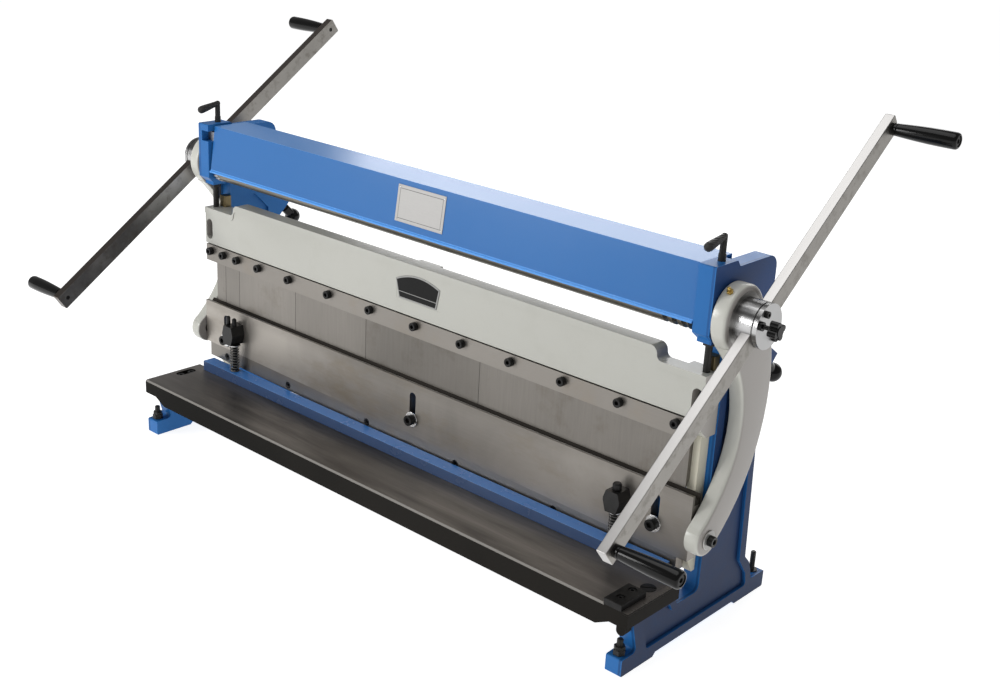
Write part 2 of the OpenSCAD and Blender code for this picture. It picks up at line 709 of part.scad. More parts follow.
// rolls, gears and bearings
groove_x = [half - 54, half - 39, half - 24];
module lower_roll() {
    color([0.62, 0.60, 0.56]) difference() {
        union() {
            xcyl(-roll_x + 2, roll_x, S[0], S[1], roll_r);
            xcyl(-xo - 0.5, xo + 0.5, S[0], S[1], 13);
            xcyl(-arm_x0 - 15, arm_x0 + 15, S[0], S[1], 12);
        }
        for (x = groove_x)
            xcyl_ring(x - wire_groove / 2, x + wire_groove / 2, roll_r - 4, roll_r + 1);
    }
}
module xcyl_ring(x0, x1, r0, r1) {
    difference() {
        xcyl(x0, x1, S[0], S[1], r1);
        xcyl(x0 - 1, x1 + 1, S[0], S[1], r0);
    }
}
teeth = 22;
gear_out = roll_r + 1.2;
gear_root = roll_r - 1.1;
// a gear seen along X, its first tooth at the given turn
module gear(c, turn, bore) {
    p = 360 / teeth;
    difference() {
        yz(-xi + 1.5, -xi + 13.5) polygon([
            for (k = [0 : teeth - 1])
                each [for (s = [[-0.31, gear_root], [-0.13, gear_out], [0.13, gear_out], [0.31, gear_root]])
                    c + s[1] * [cos(turn + p * (k + s[0])), sin(turn + p * (k + s[0]))]]]);
        xcyl(-xi, -xi + 15, c[0], c[1], bore);
    }
}
module drive_gear() {
    color([0.35, 0.35, 0.36]) gear(S, 82.16, 13.02);
}
module driven_gear() {
    color([0.35, 0.35, 0.36]) gear(U, 262.16 + 180 / teeth, 10.02);
}
module upper_roll() {
    color([0.66, 0.65, 0.62]) {
        xcyl(-roll_x + 2, roll_x, U[0], U[1], roll_r);
        xcyl(-xp + 1, xp - 1, U[0], U[1], 10);
    }
}
module upper_bearing_blocks() {
    color([0.45, 0.45, 0.46]) both() difference() {
        box(xi + 0.3, xp - 0.3, 7.2, 44.8, U[1] - 18.6, U[1] + 19.4);
        xcyl(xi - 1, xp + 1, U[0], U[1], 10.06);
        zcyl(xb, 24, U[1] + 14.6, U[1] + 20, 5.45);
    }
}
module pinch_screw() {
    zcyl(xb, 24, U[1] + 15, 573, 5.2);
    translate([xb, 24, 573]) sphere(r = 5.2);
    ycyl(xb, -12, 24, 573, 5);
    translate([xb, -12, 573]) sphere(r = 5);
}
module left_pinch_screw() {
    color([0.07, 0.07, 0.07]) mirror([1, 0, 0]) pinch_screw();
}
module right_pinch_screw() {
    color([0.07, 0.07, 0.07]) pinch_screw();
}
module rear_bend_roll() {
    color([0.66, 0.65, 0.62]) {
        xcyl(-roll_x, roll_x, rear_roll[0], rear_roll[1], roll_r);
        xcyl(-xp + 1, xp - 1, rear_roll[0], rear_roll[1], 10);
    }
}
module rear_bearing_blocks() {
    color([0.45, 0.45, 0.46]) both() rear_line() difference() {
        box(xi + 0.3, xp - 0.3, -16, 21, -17.8, 17.8);
        xcyl(xi - 1, xp + 1, 0, 0, 10.06);
        ycyl(xb, 15.2, 22, 0, 6.1);
    }
}
module rear_screw() {
    rear_line() {
        ycyl(xb, 15.6, 150, 0, 5.9);
        ycyl(xb, 137, 152, 0, 8);
        translate([xb, 163, 0]) sphere(r = 13.8);
    }
}
module left_rear_screw() {
    color([0.06, 0.06, 0.06]) mirror([1, 0, 0]) rear_screw();
}
module right_rear_screw() {
    color([0.06, 0.06, 0.06]) rear_screw();
}

// cranks
module hub(lift, locked) {
    difference() {
        union() {
            xcyl(arm_x0 + 0.2, arm_x1 - 0.2, E[0], E[1], 36.94);
            xcyl(arm_x1 - 0.3, bar_x1, E[0], E[1], 30.5);
            xcyl(bar_x1 - e, hub_x1 - 6 + e, E[0], E[1], 28.7);
            xcyl(hub_x1 - 6, hub_x1, E[0], E[1], 30.5);
        }
        xcyl(arm_x0 - 1, arm_x0 + 15.1, S[0], S[1], 12.02);
        translate([0, E[0], E[1]]) rotate([lift, 0, 0])
            box(bar_x0 - 0.05, bar_x1 + 0.05, -40, 40, -bar_w / 2 - 0.05, bar_w / 2 + 0.05);
        for (c = cap_screws)
            xcyl(hub_x1 - 4, hub_x1 + 1, c[0], c[1], 3.1);
        if (locked)
            xcyl(hub_x1 - 5, hub_x1 + 1, lock[0], lock[1], 3.1);
    }
}
cap_screws = [[24.1, 487.5], [50, 450.5]];
lock = [13, 475];
module eccentric_hubs() {
    color([0.76, 0.76, 0.77]) {
        hub(right_lift, true);
        mirror([1, 0, 0]) hub(left_lift, false);
    }
}
module hub_screws() {
    color([0.10, 0.10, 0.10]) both() for (c = cap_screws) difference() {
        union() {
            xcyl(hub_x1 - 3.8, hub_x1, c[0], c[1], 3);
            xcyl(hub_x1, hub_x1 + 5, c[0], c[1], 4.6);
        }
        translate([hub_x1 + 2.5, c[0], c[1]]) rotate([0, 90, 0]) cylinder(r = 2.3, h = 4, $fn = 6);
    }
}
// knob with four deep lobes
module right_hub_lock() {
    color([0.06, 0.06, 0.06]) {
        xcyl(hub_x1 - 4.8, hub_x1 + 17, lock[0], lock[1], 3);
        xcyl(hub_x1 + 0.3, hub_x1 + 5, lock[0], lock[1], 6);
        xcyl(hub_x1 + 16, hub_x1 + 30, lock[0], lock[1], 7);
        for (k = [0 : 3])
            xcyl(hub_x1 + 17, hub_x1 + 29, lock[0] + 8.2 * cos(90 * k + 20), lock[1] + 8.2 * sin(90 * k + 20), 4.6);
    }
}
module crank_bar(lift) {
    translate([0, E[0], E[1]]) rotate([lift, 0, 0]) difference() {
        yz(bar_x0, bar_x1) polygon(rounded(
            [[-crank_l, -bar_w / 2], [crank_l, -bar_w / 2], [crank_l, bar_w / 2], [-crank_l, bar_w / 2]],
            same(4, 2), 3));
        for (s = [-1, 1])
            xcyl(bar_x0 - 1, bar_x1 + 1, s * (crank_l - 14), 0, 3.55);
    }
}
module left_crank_bar() {
    color([0.74, 0.75, 0.75]) mirror([1, 0, 0]) crank_bar(left_lift);
}
module right_crank_bar() {
    color([0.74, 0.75, 0.75]) crank_bar(right_lift);
}
// bolts on which the grips turn, flush in the bar and sunk in the grip's end
module grip_pin(lift) {
    translate([0, E[0], E[1]]) rotate([lift, 0, 0]) for (s = [-1, 1]) difference() {
        union() {
            xcyl(bar_x0 + 0.4, bar_x1 + e, s * (crank_l - 14), 0, 3.5);
            xcyl(bar_x1, grip_x0 - 0.3, s * (crank_l - 14), 0, 8.2);
            xcyl(bar_x1 + 1, grip_x1 - 4.6, s * (crank_l - 14), 0, 5);
            xcyl(grip_x1 - 4.7, grip_x1 - 1.2, s * (crank_l - 14), 0, 7);
        }
        translate([grip_x1 - 3.4, s * (crank_l - 14), 0]) rotate([0, 90, 0]) cylinder(r = 3.4, h = 4, $fn = 6);
    }
}
module grip_bolts() {
    color([0.10, 0.10, 0.10]) {
        grip_pin(right_lift);
        mirror([1, 0, 0]) grip_pin(left_lift);
    }
}
// a turned grip with a ferrule at the bar and a nearly flat end
module grip(lift, s) {
    l = grip_x1 - grip_x0;
    translate([0, E[0], E[1]]) rotate([lift, 0, 0])
        translate([grip_x0, s * (crank_l - 14), 0]) rotate([0, 90, 0]) rotate_extrude() polygon(concat(
            [[5.05, 0], [8.3, 0], [8.6, 0.6], [8.6, 6], [9.3, 6.6]],
            bezier([9.3, 6.6], [10.4, 0.2 * l], [grip_r, 0.3 * l], [grip_r, 0.5 * l], 10),
            [for (k = [0 : 6]) [grip_r - 4 + 4 * cos(15 * k), l - 4 + 4 * sin(15 * k)]],
            [[7.4, l], [7.4, l - 5], [5.05, l - 5]]));
}
module left_upper_grip() {
    color([0.03, 0.03, 0.03]) mirror([1, 0, 0]) grip(left_lift, 1);
}
module left_lower_grip() {
    color([0.03, 0.03, 0.03]) mirror([1, 0, 0]) grip(left_lift, -1);
}
module right_upper_grip() {
    color([0.03, 0.03, 0.03]) grip(right_lift, 1);
}
module right_lower_grip() {
    color([0.03, 0.03, 0.03]) grip(right_lift, -1);
}

// puts the origin on the floor straight below the axis of the crank hubs
module placed() {
    translate([0, -E[0], 0]) children();
}

placed() left_side_frame();
placed() right_side_frame();
placed() shear_table();
placed() edge_scale();
placed() lower_shear_blade();
placed() lower_blade_screws();
placed() squaring_fence();
placed() table_screws();
placed() top_beam();
placed() rating_plate();
placed() upper_die_beam();
placed() badge_plate();
placed() die_beam_bolts();
placed() jack_screws();
placed() die_end_blocks();
placed() finger_clamp_bar();
placed() clamp_bar_bolts();
placed() bending_fingers();
placed() guide_strips();
placed() foot_studs();
placed() shaft_bushes();
placed() rear_bed_beam();
placed() bed_beam_bolts();
placed() ram_guide_bolts();
placed() ram_guide_washers();
placed() ram_plate();
placed() v_die();
placed() upper_shear_blade();
placed() blade_screws();
placed() arm_pins();
placed() hold_down_brackets();
placed() hold_down_bar();
placed() hold_down_rods();
placed() left_hold_down_spring();
placed() right_hold_down_spring();
placed() left_arm();
placed() right_arm();
placed() left_grease_nipple();
placed() right_grease_nipple();
placed() lower_roll();
placed() drive_gear();
placed() driven_gear();
placed() upper_roll();
placed() upper_bearing_blocks();
placed() left_pinch_screw();
placed() right_pinch_screw();
placed() rear_bend_roll();
placed() rear_bearing_blocks();
placed() left_rear_screw();
placed() right_rear_screw();
placed() eccentric_hubs();
placed() hub_screws();
placed() right_hub_lock();
placed() left_crank_bar();
placed() right_crank_bar();
placed() grip_bolts();
placed() left_upper_grip();
placed() left_lower_grip();
placed() right_upper_grip();
placed() right_lower_grip();
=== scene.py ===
import functools
import json
import math

import bmesh
import bpy
from mathutils import Matrix, Vector
from mathutils.geometry import delaunay_2d_cdt, intersect_line_line_2d

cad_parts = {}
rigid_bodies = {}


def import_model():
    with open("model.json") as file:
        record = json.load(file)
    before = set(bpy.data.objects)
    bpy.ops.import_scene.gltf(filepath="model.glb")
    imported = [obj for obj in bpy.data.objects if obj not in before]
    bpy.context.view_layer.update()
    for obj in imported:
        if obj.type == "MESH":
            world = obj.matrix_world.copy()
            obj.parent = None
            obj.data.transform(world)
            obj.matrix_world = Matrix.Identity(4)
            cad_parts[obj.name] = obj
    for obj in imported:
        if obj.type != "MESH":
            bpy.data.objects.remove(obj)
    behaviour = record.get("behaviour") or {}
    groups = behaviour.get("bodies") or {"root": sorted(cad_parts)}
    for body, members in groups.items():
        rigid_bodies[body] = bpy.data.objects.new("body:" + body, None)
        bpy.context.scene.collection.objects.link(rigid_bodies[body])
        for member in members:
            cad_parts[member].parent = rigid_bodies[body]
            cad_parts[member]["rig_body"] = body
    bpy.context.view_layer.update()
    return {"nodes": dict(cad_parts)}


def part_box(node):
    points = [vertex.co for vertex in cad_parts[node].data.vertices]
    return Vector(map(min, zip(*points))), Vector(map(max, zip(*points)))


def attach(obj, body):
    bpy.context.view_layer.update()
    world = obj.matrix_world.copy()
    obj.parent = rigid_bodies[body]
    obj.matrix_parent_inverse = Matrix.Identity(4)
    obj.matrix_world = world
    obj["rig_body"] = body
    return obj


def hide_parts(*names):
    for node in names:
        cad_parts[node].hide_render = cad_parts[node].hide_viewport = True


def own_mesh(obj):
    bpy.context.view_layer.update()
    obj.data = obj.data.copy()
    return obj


bl_info = {
    "name": "Combination sheet metal machine",
    "version": (1, 0, 0),
    "blender": (4, 5, 0),
    "location": "3D View > Sidebar > Machine",
    "description": "Dresses the packed shear, press brake and slip roll machine with detailed pieces and finishes",
    "category": "Object",
}

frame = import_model()
NODES = frame["nodes"]

# photographed view, solved from the machine's straight edges, in metres and degrees
CAMERA_PLACE = (1.4025, -1.4541, 1.0309)
CAMERA_AZIMUTH = 40.866
CAMERA_ELEVATION = 20.591
CAMERA_ROLL = 3.174
CAMERA_LENS = 49.53
CAMERA_SENSOR = 36
# half the floor's side, its own glow and the sky's strength
FLOOR_REACH = 120.0
FLOOR_GLOW = 0.86
SKY_STRENGTH = 0.3
MM = 0.001
# the part's source measures Y this many millimetres further back than the shared frame
BACK = 35.5
# stations of the repeated screws along the machine, in millimetres
CLAMP_BOLTS = (-509.5, -474, -436, -378, -298, -199, -100, 0, 99.5, 197, 295, 395.5, 490)
BLADE_SCREWS = (-470, -302, -104, 96, 294, 492)
# middle plane of each side frame, and the axis of the arm pins
FRAME_X = 515.75
PIN_AXIS = (8, 163)
# middle of the bare plate on the beam's front, how far that front leans back, and where its rivets sit
PLATE_X, PLATE_Z = 4.5, 501.7
BEAM_LEAN = 7.65
RIVETS = [(x, z) for x in (-46.5, 46.5) for z in (-24.5, 24.5)]
# each hold-down spring's side, place along the machine and the underside of its bracket
SPRINGS = (("left", -429, 165), ("right", 414.5, 162))
SPRING_Y, SPRING_FOOT, SPRING_TRAVEL = -15, 115.1, 15.1
# name, place, aim, size and watts of each soft box
LIGHTS = (
    ("key", (-2.1, -2.9, 1.2), (0.0, 0.0, 0.3), (1.3, 1.3), 58),
    ("overhead", (-0.2, -0.3, 2.8), (0.0, 0.0, 0.3), (2.6, 1.8), 26),
    ("screen", (-0.9, 2.9, 1.7), (0.0, 0.0, 0.4), (4.0, 1.4), 40),
)


# ---- settings that a user would change

def length(name, text, mm):
    return bpy.props.FloatProperty(name=name, description=text, default=mm * MM, unit="LENGTH")


def colour(name, text, rgb):
    return bpy.props.FloatVectorProperty(name=name, description=text, default=rgb, size=3, min=0, max=1,
                                         subtype="COLOR")


class MachineSizes(bpy.types.PropertyGroup):
    cast_edge: length("Casting edge", "Rounding of the edges of the castings", 1.8)
    plate_edge: length("Plate edge", "Chamfer of the machined plates", 0.5)
    arm_edge: length("Arm edge", "Rounding of the outline of the curved arms", 5.5)
    grip_radius: length("Grip radius", "Largest radius of the turning grips", 11.6)
    spring_wire: length("Spring wire", "Wire diameter of the hold-down springs", 2.3)
    spring_radius: length("Spring radius", "Mean radius of the hold-down springs", 7)
    spring_turns: bpy.props.FloatProperty(name="Spring turns", description="Turns of each hold-down spring",
                                          default=9, min=4, max=14)
    screw_seed: bpy.props.IntProperty(name="Screw seed", description="Chooses how each screw's socket is turned",
                                      default=7, min=0)


class MachineColours(bpy.types.PropertyGroup):
    blue: colour("Blue enamel", "Paint of the frames, the beam and the hold-down bar", (0.022, 0.146, 0.42))
    # painted shade for the castings' outward sides, used by the blue cast enamel
    painted_shade_navy: colour("Navy enamel", "Duller paint of the castings' broad sides", (0.0065, 0.028, 0.098))
    pale: colour("Pale enamel", "Paint of the die beam and the arms", (0.46, 0.46, 0.42))
    cream: colour("Cream enamel", "Paint of the guide strips", (0.46, 0.44, 0.36))
    steel: colour("Ground steel", "Ram, fingers, clamp bar and blades", (0.29, 0.27, 0.245))
    bright: colour("Bright steel", "Cranks, hubs and washers", (0.66, 0.66, 0.66))
    table: colour("Table steel", "Darkened table", (0.075, 0.069, 0.064))
    black: colour("Black oxide", "Bolts, brackets and screws", (0.006, 0.006, 0.006))
    brass: colour("Brass", "Grease nipples", (0.60, 0.42, 0.13))


def sizes():
    return bpy.context.scene.machine_sizes


def colours():
    return bpy.context.scene.machine_colours


# ---- node trees

class Value:
    """A node's socket that takes part in ordinary arithmetic."""

    def __init__(self, nodes, socket):
        self.nodes = nodes
        self.socket = socket

    def _math(self, operation, *others, clamp=False):
        return self.nodes.node("ShaderNodeMath", {"operation": operation, "use_clamp": clamp}, self, *others)

    __add__ = __radd__ = functools.partialmethod(_math, "ADD")
    __sub__ = functools.partialmethod(_math, "SUBTRACT")
    __mul__ = __rmul__ = functools.partialmethod(_math, "MULTIPLY")
    __truediv__ = functools.partialmethod(_math, "DIVIDE")
    __abs__ = functools.partialmethod(_math, "ABSOLUTE")
    sign = functools.partialmethod(_math, "SIGN")
    wave = functools.partialmethod(_math, "SINE")
    clamp = functools.partialmethod(_math, "ADD", 0.0, clamp=True)

    def __rsub__(self, other):
        return self.nodes.node("ShaderNodeMath", {"operation": "SUBTRACT"}, other, self)

    def smooth(self, low, high):
        return self.nodes.node("ShaderNodeMapRange", {"interpolation_type": "SMOOTHSTEP"},
                               self, low, high, 0.0, 1.0)


class Nodes:
    """Fills a node tree."""

    def __init__(self, tree):
        self.tree = tree

    def node(self, kind, settings, *values, out=0, **named):
        """Adds a node with its inputs by place or by name, where None leaves one alone, and gives one output."""
        n = self.tree.nodes.new(kind)
        for key, value in settings.items():
            setattr(n, key, value)
        pairs = list(zip(n.inputs, values))
        for key, value in named.items():
            pairs.append((next(i for i in n.inputs if i.enabled and i.name == key.replace("_", " ")), value))
        for socket, value in pairs:
            if isinstance(value, Value):
                self.tree.links.new(value.socket, socket)
            elif value is not None:
                socket.default_value = value
        return Value(self, n.outputs[out])


class Finish(Nodes):
    """A procedural material that reads Object coordinates."""

    def __init__(self, name, base, metallic=0.0, roughness=0.4, specular=0.5):
        self.material = bpy.data.materials.new(name)
        self.material.use_nodes = True
        self.material.diffuse_color = (*base, 1)
        super().__init__(self.material.node_tree)
        self.shader = self.tree.nodes["Principled BSDF"]
        for socket, value in (("Base Color", (*base, 1)), ("Metallic", metallic), ("Roughness", roughness),
                              ("Specular IOR Level", specular)):
            self.shader.inputs[socket].default_value = value
        self.place = self.node("ShaderNodeTexCoord", {}, out="Object")

    def noise(self, scale, detail=3.0, rough=0.5, stretch=(1, 1, 1), distortion=0.0):
        """Noise on coordinates scaled by axis, for grain that runs one way."""
        grain = self.node("ShaderNodeMapping", {}, self.place, None, None, stretch)
        return self.node("ShaderNodeTexNoise", {}, Vector=grain, Scale=scale, Detail=detail, Roughness=rough,
                         Distortion=distortion)

    def axis(self, i):
        return self.node("ShaderNodeSeparateXYZ", {}, self.place, out=i)

    def facing(self, i):
        """The normal's share along one axis."""
        return self.node("ShaderNodeSeparateXYZ", {}, self.node("ShaderNodeNewGeometry", {}, out="Normal"), out=i)

    def mix(self, factor, *colours):
        """The second colour over the first."""
        a, b = (c if isinstance(c, Value) else (*c[:3], 1) for c in colours)
        return self.node("ShaderNodeMix", {"data_type": "RGBA"}, out=2, Factor=factor, A=a, B=b)

    def set(self, socket, value):
        self.tree.links.new(value.socket, self.shader.inputs[socket])
        return self

    def bump(self, height, strength, distance):
        return self.set("Normal", self.node("ShaderNodeBump", {}, strength, distance, Height=height))

    def done(self, colour, roughness, *bump):
        """Closes most finishes: colour, roughness, and a height with its strength and depth."""
        return self.set("Base Color", colour).set("Roughness", roughness).bump(*bump).material


def tint(rgb, k):
    return tuple(max(0.0, min(1.0, c * k)) for c in rgb)


@functools.cache
def finish(name):
    """Each finish is made once, when it is first asked for."""
    return FINISHES[name]()


def enamel(name, rgb, cast, roughness, broad=None):
    """Gloss machine enamel: slight orange peel, cast lumps under it, a little grime, and painted shade on its outward
    sides.
    """
    f = Finish(name, rgb, roughness=roughness, specular=0.17)
    cloud = f.noise(6, 3)
    # faces that point outwards along X, where painted shade goes
    outer = (f.facing(0) * f.axis(0).sign()).smooth(0.35, 0.9)
    speck = f.noise(900, 2)
    rub = f.noise(38, 5, 0.65)
    paint = f.mix(cloud, tint(rgb, 0.9), tint(rgb, 1.08))
    if broad:
        # painted shade on the outward side, darkest at the foot and lightest at the head, and on the pocket's floor
        # at half strength
        head, foot = f.axis(2).smooth(0.25, 0.50), f.axis(2).smooth(0.05, 0.20)
        middle = f.mix(cloud, tint(broad, 0.86), tint(broad, 1.12))
        painted_shade = f.mix(head, f.mix(foot, tint(broad, 0.72), middle), tint(broad, 1.75))
        x = abs(f.axis(0))
        pocket = x.smooth(0.5236, 0.5242) * (1.0 - x.smooth(0.5270, 0.5276))
        paint = f.mix((outer + 0.5 * pocket).clamp(), paint, painted_shade)
    return f.done(f.mix((rub - 0.42).clamp() * 0.3, paint, tint(rgb, 0.6)),
                  roughness + 0.12 * (rub - 0.45) + 0.05 * speck + 0.14 * abs(f.facing(0)).smooth(0.5, 0.95),
                  0.35 * f.noise(700, 2) + cast * f.noise(150, 4, 0.6) + 0.8 * cast * f.noise(40, 2), 0.16, 0.0005)


def blue_sheet():
    """Clean gloss paint on folded sheet, with painted light where it faces up and painted highlights along its folds
    and lower lip.
    """
    rgb = colours().blue
    f = Finish("blue_sheet_enamel", rgb, roughness=0.2, specular=0.34)
    cloud = f.noise(2.2, 2)
    up = f.facing(2).smooth(0.2, 0.9)
    paint = f.mix(cloud, tint(rgb, 0.88), tint(rgb, 1.06))
    # painted light on faces that look up
    paint = f.mix(up, paint, (0.085, 0.245, 0.57))
    # painted highlights along the lower lip and, below, along the folds
    lip = 1.0 - f.axis(2).smooth(0.4632, 0.4650)
    low = f.axis(2).smooth(0.3, 0.4) * lip
    paint = f.mix(((up * (1.0 - up)) * 4.0 + low * 0.8).clamp(), paint, (0.10, 0.36, 0.86))
    return f.done(paint, 0.17 + 0.06 * f.noise(14, 3) + 0.03 * f.noise(900, 2), f.noise(620, 2), 0.06, 0.0003)


def blue_bar():
    """The hold-down bar: painted light along its top, painted shade on its greyer face, and a painted highlight along
    its top edge.
    """
    rgb = colours().blue
    f = Finish("blue_bar_enamel", rgb, roughness=0.24, specular=0.3)
    up = f.facing(2).smooth(0.3, 0.9)
    rub = f.noise(38, 5, 0.65)
    # painted shade on the face, with painted light on the top in the next line
    face = f.mix(f.noise(5, 3), (0.034, 0.070, 0.165), (0.050, 0.092, 0.205))
    paint = f.mix(up, face, (0.050, 0.185, 0.50))
    # painted highlight along the rounded top edge
    paint = f.mix((up * (1.0 - up) * 4.0).clamp(), paint, (0.12, 0.30, 0.66))
    return f.done(f.mix((rub - 0.5).clamp() * 0.5, paint, (0.05, 0.06, 0.08)), 0.2 + 0.12 * rub,
                  f.noise(500, 2), 0.08, 0.0003)


def pale_cast():
    """Gloss enamel on the die beam, with painted light on the arms beyond the frames and painted shade on sides that
    face along X.
    """
    rgb = colours().pale
    f = Finish("pale_cast_enamel", rgb, roughness=0.26)
    grime = f.noise(24, 5, 0.6)
    shade = f.mix(f.noise(5, 2), tint(rgb, 0.97), tint(rgb, 1.04))
    # painted light on the arms beyond the frames
    arm = abs(f.axis(0)).smooth(0.5292, 0.5296)
    shade = f.mix(arm, shade, tint(rgb, 1.22))
    # painted shade on sides that face along X
    shade = f.mix(abs(f.facing(0)).smooth(0.6, 0.98), shade, (0.325, 0.305, 0.285))
    return f.done(f.mix((grime - 0.5).clamp() * 0.4, shade, (0.32, 0.30, 0.25)), 0.22 + 0.14 * (grime - 0.4),
                  0.3 * f.noise(650, 2) + 0.5 * f.noise(130, 4, 0.6) + 0.6 * f.noise(35, 2), 0.2, 0.0005)


def ground_steel(name, k, stain, roughness=0.36):
    """Ground plate: fine grinding lines along it, oil clouds and old stains."""
    rgb = tint(colours().steel, k)
    f = Finish(name, rgb, metallic=0.85, roughness=roughness)
    lines = f.noise(30, 4, 0.75, (0.2, 1, 10))
    fine = f.noise(140, 3, 0.7, (0.2, 1, 10))
    cloud = f.noise(4.5, 4, 0.55, distortion=0.6)
    rust = f.noise(16, 6, 0.62)
    worn = f.mix(cloud, tint(rgb, 0.72), tint(rgb, 1.18))
    worn = f.mix((rust - 0.52).clamp() * stain * 3.0, worn, (0.22, 0.17, 0.11))
    return f.done(f.mix(0.3 * lines + 0.2 * fine, worn, tint(rgb, 1.3)),
                  roughness - 0.06 + 0.16 * lines + 0.12 * (cloud - 0.5), 0.6 * lines + 0.4 * fine, 0.12, 0.0003)


def finger_steel():
    """Hardened fingers: each has its own tone, with streaks down its face and darker joints between them."""
    rgb = colours().steel
    f = Finish("ground_finger_steel", rgb, metallic=0.8, roughness=0.36)
    x = f.axis(0)
    tone, seam = 0.82, 0.0
    # each joint's place, and how much lighter the fingers to its right are, part at once and part bit by bit
    for cut, step in ((-0.483, -0.10), (-0.4448, 0.14), (-0.294, -0.12), (-0.1204, -0.22), (0.1285, 0.16)):
        tone = tone + 0.3 * step * x.smooth(cut - 0.0001, cut + 0.0001)
        tone = tone + 0.7 * step * x.smooth(cut - 0.05, cut + 0.05)
        seam = seam + (1.0 - abs(x - cut) / 0.0012).clamp()
    streak = f.noise(34, 5, 0.7, (7, 1, 0.35))
    fine = f.noise(150, 3, 0.7, (8, 1, 0.25))
    cloud = f.noise(5, 4, 0.6, distortion=0.7)
    stain = f.noise(19, 6, 0.66)
    worn = f.mix(0.55 * cloud + 0.5 * streak, tint(rgb, 0.55), tint(rgb, 1.25))
    worn = f.mix((stain - 0.55).clamp() * 1.8, worn, (0.12, 0.09, 0.055))
    worn = f.mix(tone.clamp(), (0.03, 0.028, 0.024), worn)
    return f.done(f.mix((seam * 1.1).clamp() * 0.55, worn, (0.03, 0.028, 0.025)),
                  0.3 + 0.16 * streak + 0.1 * (cloud - 0.5), 0.6 * streak + 0.4 * fine, 0.12, 0.0003)


def ram_steel():
    """Ground ram: long horizontal grinding lines, oil clouds, darker and stained towards the middle."""
    rgb = colours().steel
    f = Finish("ground_ram_steel", rgb, metallic=0.8, roughness=0.36)
    x, z = f.axis(0), f.axis(2)
    lines = f.noise(30, 4, 0.75, stretch=(0.25, 1, 9))
    fine = f.noise(140, 3, 0.7, stretch=(0.2, 1, 10))
    cloud = f.noise(4.5, 5, 0.6, distortion=0.8)
    rust = f.noise(15, 6, 0.66, (0.6, 1, 1.4))
    middle = 1.0 - abs(x + 0.02).smooth(0.12, 0.42)
    # painted light at the left end and painted shade towards the right end
    left = 1.0 - x.smooth(-0.36, -0.10)
    right = x.smooth(0.30, 0.46)
    light = (cloud * 1.3 - 0.1 - 0.38 * middle + 0.55 * left - 0.2 * right).clamp()
    worn = f.mix(light, tint(rgb, 0.50), tint(rgb, 1.35))
    worn = f.mix((rust - 0.50).clamp() * (1.6 + 2.2 * middle), worn, (0.15, 0.115, 0.07))
    worn = f.mix((z.smooth(0.2, 0.2195) * (rust + 0.1)).clamp() * 0.5, worn, (0.06, 0.05, 0.035))
    return f.done(f.mix(0.3 * lines + 0.2 * fine, worn, tint(rgb, 1.25)),
                  0.3 + 0.16 * lines + 0.12 * (cloud - 0.5), 0.6 * lines + 0.4 * fine, 0.12, 0.0003)


def hub_steel():
    """Turned hub: fine rings round its barrel, painted reflections along it, and painted shade inside the arm's ring.
    """
    rgb = colours().bright
    f = Finish("turned_hub_steel", rgb, metallic=1.0, roughness=0.3)
    x = abs(f.axis(0))
    ring = (f.axis(0) * (2 * math.pi / 0.0011)).wave()
    smear = f.noise(14, 4, 0.6)
    face = abs(f.facing(0)).smooth(0.7, 0.98)
    # painted reflections in bands along the barrel
    painted_reflection = f.noise(46, 3, 0.6, (0.06, 1, 1)).smooth(0.42, 0.62)
    metal = f.mix(painted_reflection, tint(rgb, 0.22), tint(rgb, 0.75))
    metal = f.mix(face, metal, f.mix(smear, tint(rgb, 0.55), tint(rgb, 0.78)))
    # painted shade inside the arm's ring
    metal = f.mix(x.smooth(0.5525, 0.5533), (0.30, 0.29, 0.27), metal)
    return f.done(f.mix(0.10 + 0.10 * ring, metal, (0.2, 0.19, 0.18)), 0.2 + 0.12 * smear + 0.14 * face,
                  ring, 0.1, 0.0002)


def table_steel():
    """Planed table: brown black sides, and a top with lighter rubbed streaks along its length."""
    rgb = colours().table
    f = Finish("darkened_table_steel", rgb, metallic=0.6, roughness=0.36, specular=0.06)
    streak = f.noise(9, 5, 0.62, (0.35, 3.2, 1), distortion=0.5)
    fine = f.noise(60, 4, 0.7, (0.12, 6, 1))
    patch = f.noise(3.2, 3, 0.5).smooth(0.3, 0.7)
    up = f.facing(2).smooth(0.55, 0.95)
    ends = abs(f.axis(0)).smooth(0.3, 0.52)
    middle = 1.0 - abs(f.axis(0) + 0.03).smooth(0.04, 0.20)
    top = f.mix((streak - 0.34).clamp() * 2.1 + 0.25 * patch, tint(rgb, 0.9), (0.26, 0.24, 0.22))
    top = f.mix(0.45 * middle, top, tint(rgb, 0.8))
    top = f.mix((ends * (0.35 + 0.9 * (fine - 0.3))).clamp(), top, (0.17, 0.155, 0.145))
    side = f.mix(patch, (0.006, 0.0055, 0.0045), (0.014, 0.0125, 0.0105))
    # painted highlight along the rounded edge between the top and the sides
    edge = f.mix((up * (1.0 - up) * 4.0).clamp(), f.mix(up, side, top), (0.30, 0.285, 0.265))
    f.set("Metallic", 0.75 * up)
    return f.done(edge, 0.62 - 0.34 * up + 0.2 * fine * up + 0.1 * (streak - 0.5),
                  0.5 * fine + 0.5 * streak, 0.1, 0.0004)


def bright_steel(name="bright_drawn_steel", roughness=0.2, k=1.0):
    """Drawn or turned steel with handling smears."""
    rgb = tint(colours().bright, k)
    f = Finish(name, rgb, metallic=1.0, roughness=roughness)
    smear = f.noise(12, 4, 0.6)
    line = f.noise(90, 3, 0.7)
    return f.done(f.mix(smear, tint(rgb, 0.84), tint(rgb, 1.12)), roughness - 0.04 + 0.14 * smear + 0.06 * line,
                  line, 0.08, 0.0003)
